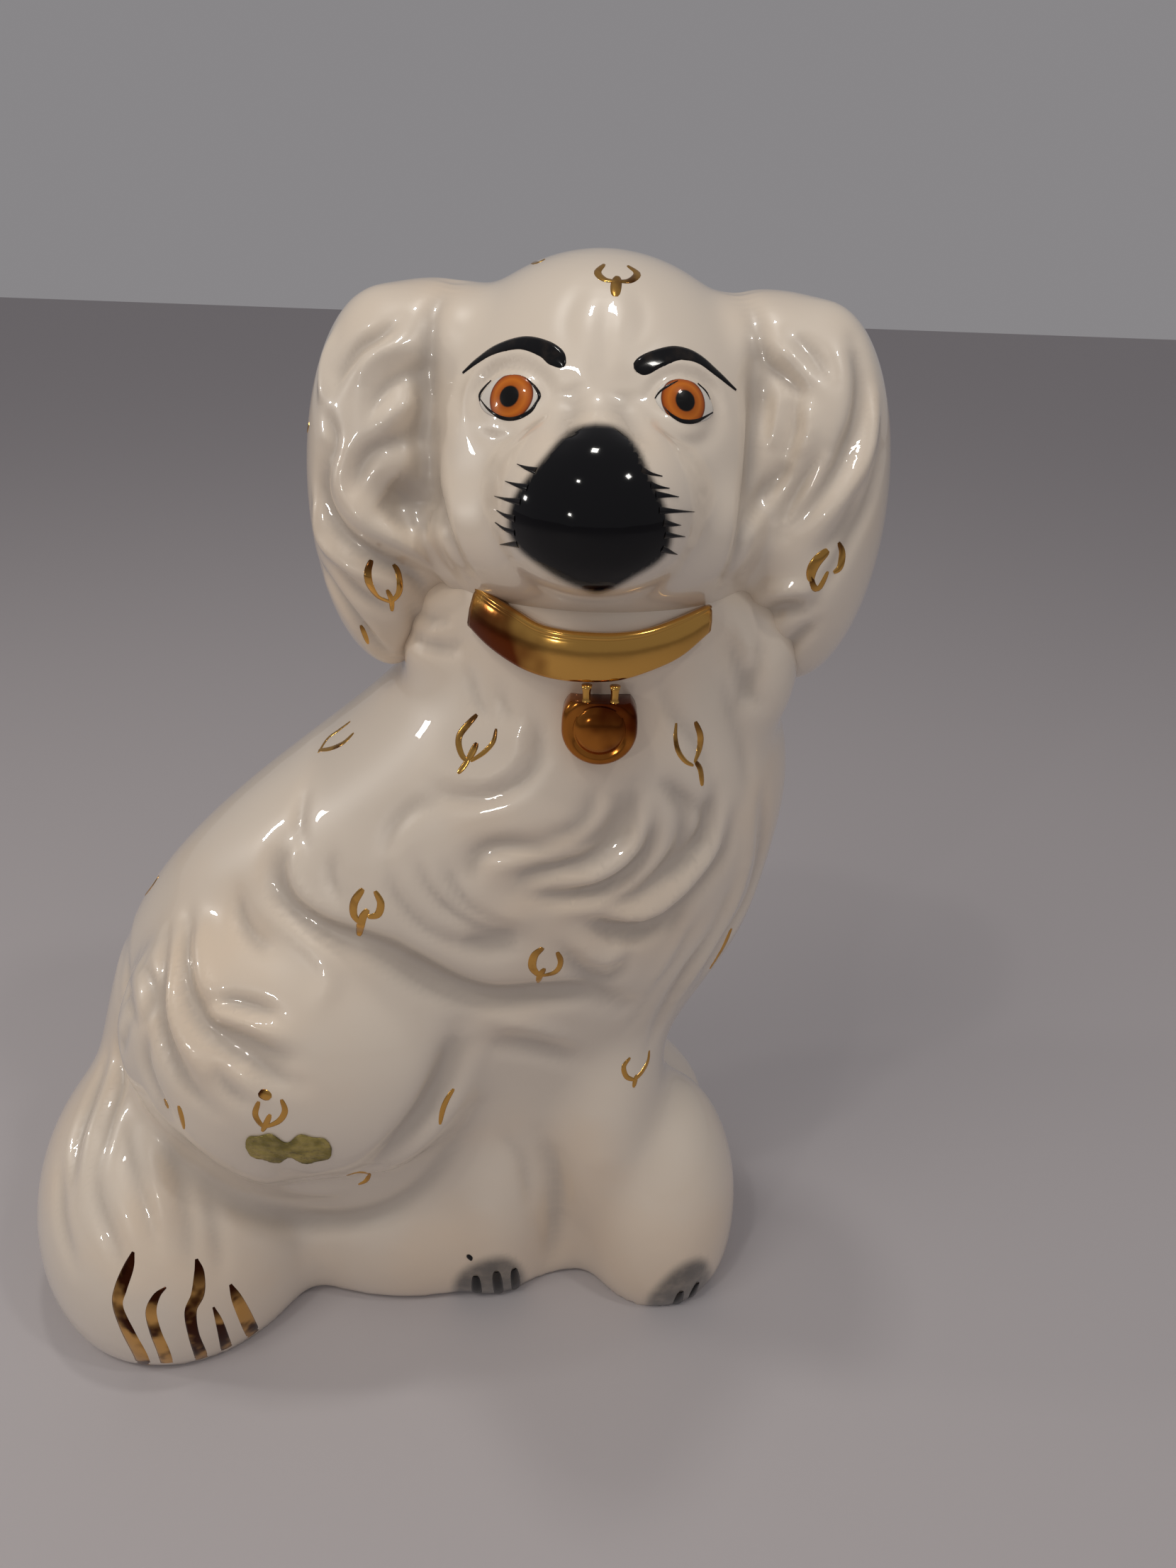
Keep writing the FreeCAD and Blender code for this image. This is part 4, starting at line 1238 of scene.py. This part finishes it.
def almond(tree, eye, rings, spokes):
    """One eye's points in rings round its iris, and their places in the eye's own map."""
    pointedness, probe, lift, sunk = 1.15, 6, 0.14, -0.1
    places, normals, _ = surface_points(tree, eye.values())
    iris, normal = Vector(places[0]), Vector(normals[0])
    inner, outer, upper, lower = (Vector(place) - iris for place in places[1:])
    across = Vector(places[1] - places[2])
    across = (across - normal * across.dot(normal)).normalized()
    up = normal.cross(across)
    if up.z < 0:
        up = -up
    points, spots = [], []
    for ring in range(rings + 1):
        for turn in turns(spokes):
            right, high = math.cos(turn), math.sin(turn)
            run = inner.dot(across) if right > 0 else -outer.dot(across)
            climb = upper.dot(up) if high > 0 else -lower.dot(up)
            u = run * right * ring / rings
            v = climb * math.copysign(abs(high) ** pointedness, high) * ring / rings
            place = iris + across * u + up * v
            points.append(laid(tree, place, normal, probe, lift if ring < rings else sunk))
            spots.append((u / IRIS_RADIUS, v / IRIS_RADIUS))
    return points, spots


def make_eyes(tree, material):
    """The two painted eyes, each an almond patch laid on the head."""
    rings, spokes = 10, 48
    points, faces, spots = [], [], []
    for eye in EYES.values():
        faces += ring_faces(len(points), rings, spokes)
        eye_points, eye_spots = almond(tree, eye, rings, spokes)
        points += eye_points
        spots += eye_spots
        faces.append(tuple(range(len(points) - spokes, len(points))))
    mesh = new_mesh("eyes", points, faces)
    layer = mesh.uv_layers.new(name="eye")
    for loop in mesh.loops:
        layer.data[loop.index].uv = spots[loop.vertex_index]
    work = bmesh.new()
    work.from_mesh(mesh)
    bmesh.ops.remove_doubles(work, verts=work.verts, dist=WELD)
    work.to_mesh(mesh)
    work.free()
    return finished("eyes", mesh, material)


def tangents(normal, turn):
    """A normal, and the right and up directions square to it, turned by degrees."""
    steepest = 0.9
    up = Vector((0, 0, 1)) if abs(normal.z) < steepest else Vector((0, 1, 0))
    up = (up - normal * up.dot(normal)).normalized()
    up.rotate(Matrix.Rotation(math.radians(turn), 3, normal))
    return normal, up.cross(normal).normalized(), up


def sprig(brush, place, normal, right, up, scale):
    """One gold sprig: two curved strokes, a tick between them and a pointed tail."""
    spacing, curved, load = 0.5, 2, 0.6
    for number, marks in enumerate(SPRIG_STROKES):
        line = curve_through(marks, spacing)
        places = [place + (right * u + up * v) * scale for u, v, _ in line]
        normals = [normal] * len(places)
        brush.stroke(places, normals, line[:, 2] * scale, load if number < curved else 0.0)


def make_sprigs(name, skin, tree, mirror_y, on_head, material):
    """Gold sprigs on one skin, as painted on the seen side and plainer on the far side."""
    thickness, spacing, least_back = 0.35, 3, 0.2
    brush = Brush(name, skin, tree, thickness)
    for width, load, line in SEEN_SPRIGS:
        if (line[0][1] < NECK_LINE) == on_head:
            brush.photo_stroke(line, load, spacing=spacing, width=width)
    for x, y, scale, turn in FAR_SPRIGS:
        if (y < NECK_LINE) != on_head:
            continue
        (place,), _, _ = surface_points(tree, [(x, y)])
        far = Vector((place[0], 2 * mirror_y - place[1], place[2]))
        found, far_normal, _, _ = tree.find_nearest(far)
        if far_normal.y > least_back:
            sprig(brush, found, *tangents(far_normal, -turn), scale)
    return brush.done(material)


def make_streaks(skin, tree, material):
    """Lustre streaks down the tail, loaded at their tops."""
    thickness = 0.4
    brush = Brush("tail_streaks", skin, tree, thickness)
    for marks in STREAKS:
        brush.photo_stroke(marks, load=1.0)
    return brush.done(material)


def make_face_lines(skin, tree, material):
    """Brows, lashes and whiskers in black enamel."""
    thickness, spacing = 0.55, 3
    brush = Brush("face_lines", skin, tree, thickness)
    for marks in BROWS + LASHES + WHISKERS:
        brush.photo_stroke(marks, spacing=spacing)
    return brush.done(material)


def make_claws(skin, tree, material):
    """Claws in black enamel."""
    thickness, spacing = 1.1, 2
    brush = Brush("claws", skin, tree, thickness)
    for width, line in CLAWS:
        brush.photo_stroke(line, spacing=spacing, width=width)
    return brush.done(material)


def meet_throat(x, y, middle, stand):
    """Where the ray through a pixel first meets the throat, made larger by a stand-out."""
    radii = np.array(THROAT_RADII) + stand
    ray = np.array(photo_ray(x, y)) / radii
    start = (np.array(CAMERA_PLACE) - middle) / radii
    a, b, c = ray @ ray, ray @ start, start @ start - 1
    gone = (-b - math.sqrt(max(b * b - a * c, 0.0))) / a
    return middle + (start + gone * ray) * radii


def make_collar(material):
    """The collar: a broad gilt band with a narrow rounded ledge along its top."""
    band_stand, columns, spacing = 2.2, 72, 2
    # height up the band as a share, and how far it stands out from the band
    section = (
        (0.02, -2.6), (0.00, -0.5), (0.03, -0.1), (0.10, 0.1), (0.45, 0.2), (0.78, 0.12), (0.83, -0.02),
        (0.86, -0.12), (0.89, 0.0), (0.92, 0.12), (0.97, -0.12), (1.0, -0.7), (0.98, -2.6),
    )
    low, high = node_box("collar")
    middle = np.array([(low[0] + high[0]) / 2, low[1] + THROAT_BACK, low[2] + THROAT_RISE])
    edges = []
    for pixels in (COLLAR_LOWER, COLLAR_UPPER):
        line = curve_through(pixels, spacing)
        line = line[np.linspace(0, len(line) - 1, columns + 1).round().astype(int)]
        edges.append([meet_throat(x, y, middle, band_stand) for x, y in line])
    points = []
    for bottom, top in zip(*edges):
        for share, stand in section:
            radii = np.array(THROAT_RADII) + band_stand + stand
            reach = ((1 - share) * bottom + share * top - middle) / radii
            points.append(middle + reach / np.linalg.norm(reach) * radii)
    faces = ring_faces(0, columns, len(section))
    faces.append(tuple(range(len(section))))
    faces.append(tuple(reversed(range(len(points) - len(section), len(points)))))
    return finished("collar_band", new_mesh("collar_band", points, faces), material)


def locket_points(spokes, profile):
    """The points of the locket in rings, its upper half squared towards the rim."""
    squareness, growth = 3, 3
    low, high = node_box("locket")
    radius = (high[0] - low[0]) / 2
    middle_x, middle_z = (low[0] + high[0]) / 2, low[2] + radius
    points = []
    for share, back in profile:
        for turn in turns(spokes):
            across, up = math.cos(turn), math.sin(turn)
            squared = 1.0
            if up > 0:
                squared = (abs(across) ** squareness + abs(up) ** squareness) ** (-1 / squareness)
            reach = radius * share * (1 + (squared - 1) * share**growth)
            points.append((middle_x + reach * across, low[1] + radius * back, middle_z + reach * up))
    return points


def make_locket(material):
    """The locket: a turned disc with a rim and a domed middle, cut flat above."""
    spokes, edge_width, edge_steps, sharp = 96, 0.35, 3, 50
    # radius and stand from the front as shares of the radius
    profile = (
        (0.0, 0.0), (0.22, 0.01), (0.42, 0.05), (0.56, 0.12), (0.63, 0.20), (0.68, 0.22), (0.74, 0.18),
        (0.82, 0.155), (0.92, 0.18), (0.98, 0.26), (1.0, 0.36), (1.0, 0.9),
    )
    points = locket_points(spokes, profile)
    faces = ring_faces(0, len(profile) - 1, spokes)
    faces.append(tuple(range(len(points) - spokes, len(points))))
    mesh = new_mesh("locket_drop", points, faces)
    work = bmesh.new()
    work.from_mesh(mesh)
    bmesh.ops.remove_doubles(work, verts=work.verts, dist=WELD)
    top = node_box("locket")[1][2] * MM
    cut = bmesh.ops.bisect_plane(
        work, geom=work.verts[:] + work.edges[:] + work.faces[:], dist=WELD,
        plane_co=(0, 0, top), plane_no=(0, 0, 1), clear_outer=True,
    )
    rim = [part for part in cut["geom_cut"] if isinstance(part, bmesh.types.BMEdge)]
    bmesh.ops.holes_fill(work, edges=rim)
    work.to_mesh(mesh)
    work.free()
    piece = finished("locket_drop", mesh, material)
    bevel = piece.modifiers.new("soft_edge", "BEVEL")
    bevel.width = edge_width * MM
    bevel.segments = edge_steps
    bevel.limit_method = "ANGLE"
    bevel.angle_limit = math.radians(sharp)
    return piece


def make_links(material):
    """The two links between collar and locket, each a flared bar."""
    spokes, stand, sunk = 20, 1.0, 0.6
    # height up the link and half width as shares
    profile = ((0.0, 1.5), (0.12, 1.15), (0.3, 0.95), (0.6, 0.95), (0.8, 1.1), (1.0, 1.3))
    points, faces = [], []
    for name in ("right_locket_link", "left_locket_link"):
        low, high = node_box(name)
        middle = (low + high) / 2
        radius = (high[0] - low[0]) / 2
        start = len(points)
        for share, wide in profile:
            for turn in turns(spokes):
                points.append((
                    middle[0] + radius * wide * math.cos(turn),
                    middle[1] - stand + radius * wide * math.sin(turn),
                    low[2] - sunk + (high[2] - low[2]) * share,
                ))
        faces += ring_faces(start, len(profile) - 1, spokes)
        faces.append(tuple(reversed(range(start, start + spokes))))
        faces.append(tuple(range(len(points) - spokes, len(points))))
    return finished("locket_links", new_mesh("locket_links", points, faces), material)


def bone_height(along):
    """Half the height of a bone's outline, as a share, at a place from -1 to 1 along it."""
    swell, bluntness, tip, waist, waist_spread = 0.1, 5, 0.02, 0.38, 0.22
    ends = math.sqrt(max(0.0, 1 - abs(along) ** bluntness)) + tip
    lobes = (1.0 - swell * math.cos(3 * math.pi * along)) * ends
    return lobes - waist * math.exp(-((along / waist_spread) ** 2))


def crinkle(u, v):
    """How far crinkled foil stands off its mean at a place on it, in millimetres."""
    depth = 0.10
    # waves each way: how close they lie, how far they are bent, and how close their bends lie
    u_waves, u_bend, u_bends = 2.3, 1.7, 1.9
    v_waves, v_bend, v_bends = 2.9, 1.3, 1.4
    across = math.sin(u_waves * u + u_bend * math.sin(u_bends * v))
    return depth * across * math.sin(v_waves * v + v_bend * math.sin(v_bends * u))


def make_label(tree, material):
    """The foil label: a crinkled bone-shaped leaf stuck on the haunch."""
    columns, rows, probe, stand, thickness = 72, 16, 8, 0.30, 0.25
    low, high = node_box("foil_label")
    half_length, half_height = (high[0] - low[0]) / 2, (high[2] - low[2]) / 2
    place, normal, _, _ = tree.find_nearest(Vector((low + high) / 2))
    normal, right, up = tangents(normal, 0)
    points, faces = [], []
    for column in range(columns + 1):
        along = 2 * column / columns - 1
        for row in range(rows + 1):
            u = along * half_length
            v = (2 * row / rows - 1) * half_height * bone_height(along)
            spot = place + right * u + up * v
            points.append(laid(tree, spot, normal, probe, stand + crinkle(u, v)))
    for column in range(columns):
        for row in range(rows):
            a = column * (rows + 1) + row
            faces.append((a, a + rows + 1, a + rows + 2, a + 1))
    piece = finished("foil_leaf", new_mesh("foil_leaf", points, faces), material)
    thicken = piece.modifiers.new("thickness", "SOLIDIFY")
    thicken.thickness = thickness * MM
    thicken.offset = 0
    return piece


def make_stage():
    """A plain pale floor."""
    reach, pale = 3.0, (0.50, 0.47, 0.48, 1)
    corners = [(-reach, -reach, 0), (reach, -reach, 0), (reach, reach, 0), (-reach, reach, 0)]
    mesh = bpy.data.meshes.new("floor_sheet")
    mesh.from_pydata(corners, [], [(0, 1, 2, 3)])
    material, _, shader = new_material("stage_floor")
    shader.inputs["Base Color"].default_value = pale
    shader.inputs["Roughness"].default_value = 0.8
    mesh.materials.append(material)
    floor = bpy.data.objects.new("floor_sheet", mesh)
    bpy.context.scene.collection.objects.link(floor)


def add_lamp(name, place, size, power, colour, target, glossy=True):
    """A square area lamp aimed at a target, in millimetres."""
    data = bpy.data.lights.new(name, "AREA")
    data.size = size * MM
    data.energy = power
    data.color = colour
    lamp = bpy.data.objects.new(name, data)
    lamp.location = Vector(place) * MM
    lamp.rotation_mode = "QUATERNION"
    lamp.rotation_quaternion = (Vector(place) - Vector(target)).to_track_quat("Z", "Y")
    lamp.visible_glossy = glossy
    bpy.context.scene.collection.objects.link(lamp)


def make_lights():
    """Soft studio light with a few small bright lamps that glint in the glaze."""
    target = (0, 0, 140)
    warm, cool, white = (1.0, 0.94, 0.86), (0.94, 0.96, 1.0), (1.0, 0.97, 0.92)
    sky_colour, sky_strength = (0.62, 0.60, 0.62, 1), 0.40
    key, fill = (-350, -420, 900), (800, -600, 500)
    add_lamp("key", key, size=420, power=1.9, colour=warm, target=target, glossy=False)
    add_lamp("fill", fill, size=700, power=0.85, colour=cool, target=target, glossy=False)
    # place, size and power
    glints = (
        ((10, 40, 1050), 70, 0.9),
        ((-850, -60, 430), 60, 0.7),
        ((-420, -850, 420), 50, 0.5),
        ((420, -260, 900), 60, 0.6),
        ((-200, -420, 900), 40, 0.4),
    )
    for number, (place, size, power) in enumerate(glints):
        add_lamp(f"glint_{number}", place, size, power, white, target)
    world = bpy.data.worlds.new("studio")
    world.use_nodes = True
    sky = world.node_tree.nodes["Background"]
    sky.inputs["Color"].default_value = sky_colour
    sky.inputs["Strength"].default_value = sky_strength
    bpy.context.scene.world = world


def ride(piece, slot, *nodes):
    """Join a piece to the figure's only body, and hide the CAD nodes that it stands for; slot is not used.
    """
    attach(piece, "root")
    if nodes:
        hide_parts(*nodes)


def main():
    """Build every piece and join it to the figure."""
    make_stage()
    make_lights()
    bpy.context.scene.view_settings.view_transform = "Standard"
    glaze = glaze_material()
    gold = {name: lustre_material(name, *look) for name, look in LUSTRES.items()}
    black = paint_material("black_enamel", colour=(0.004, 0.004, 0.005), worn=(0.02, 0.015, 0.012))

    head, body = make_head(), make_body()
    on_head = finished("head_skin", head.mesh, glaze), head.tree()
    on_body = finished("body_skin", body.mesh, glaze), body.tree()
    eyes = make_eyes(on_head[1], eye_material())
    gilded = (
        make_sprigs("head_sprigs", *on_head, HEAD_MIRROR_Y, True, gold["gold_lustre"]),
        make_sprigs("body_sprigs", *on_body, BODY_MIRROR_Y, False, gold["gold_lustre"]),
        make_streaks(*on_body, gold["streak_lustre"]),
    )
    enamelled = eyes, make_face_lines(*on_head, black), make_claws(*on_body, black)

    ride(on_head[0], "glazed_body", *HEAD_NODES)
    ride(on_body[0], "glazed_body", *BODY_NODES)
    for piece in enamelled:
        ride(piece, "glazed_body")
    for piece in gilded:
        ride(piece, "gold_lustre")
    ride(make_collar(gold["collar_gilt"]), "gold_lustre", "collar")
    ride(make_locket(gold["locket_gilt"]), "gold_lustre", "locket")
    links = make_links(gold["collar_gilt"])
    ride(links, "gold_lustre", "right_locket_link", "left_locket_link")
    ride(make_label(on_body[1], foil_material()), "label_foil", "foil_label")


main()
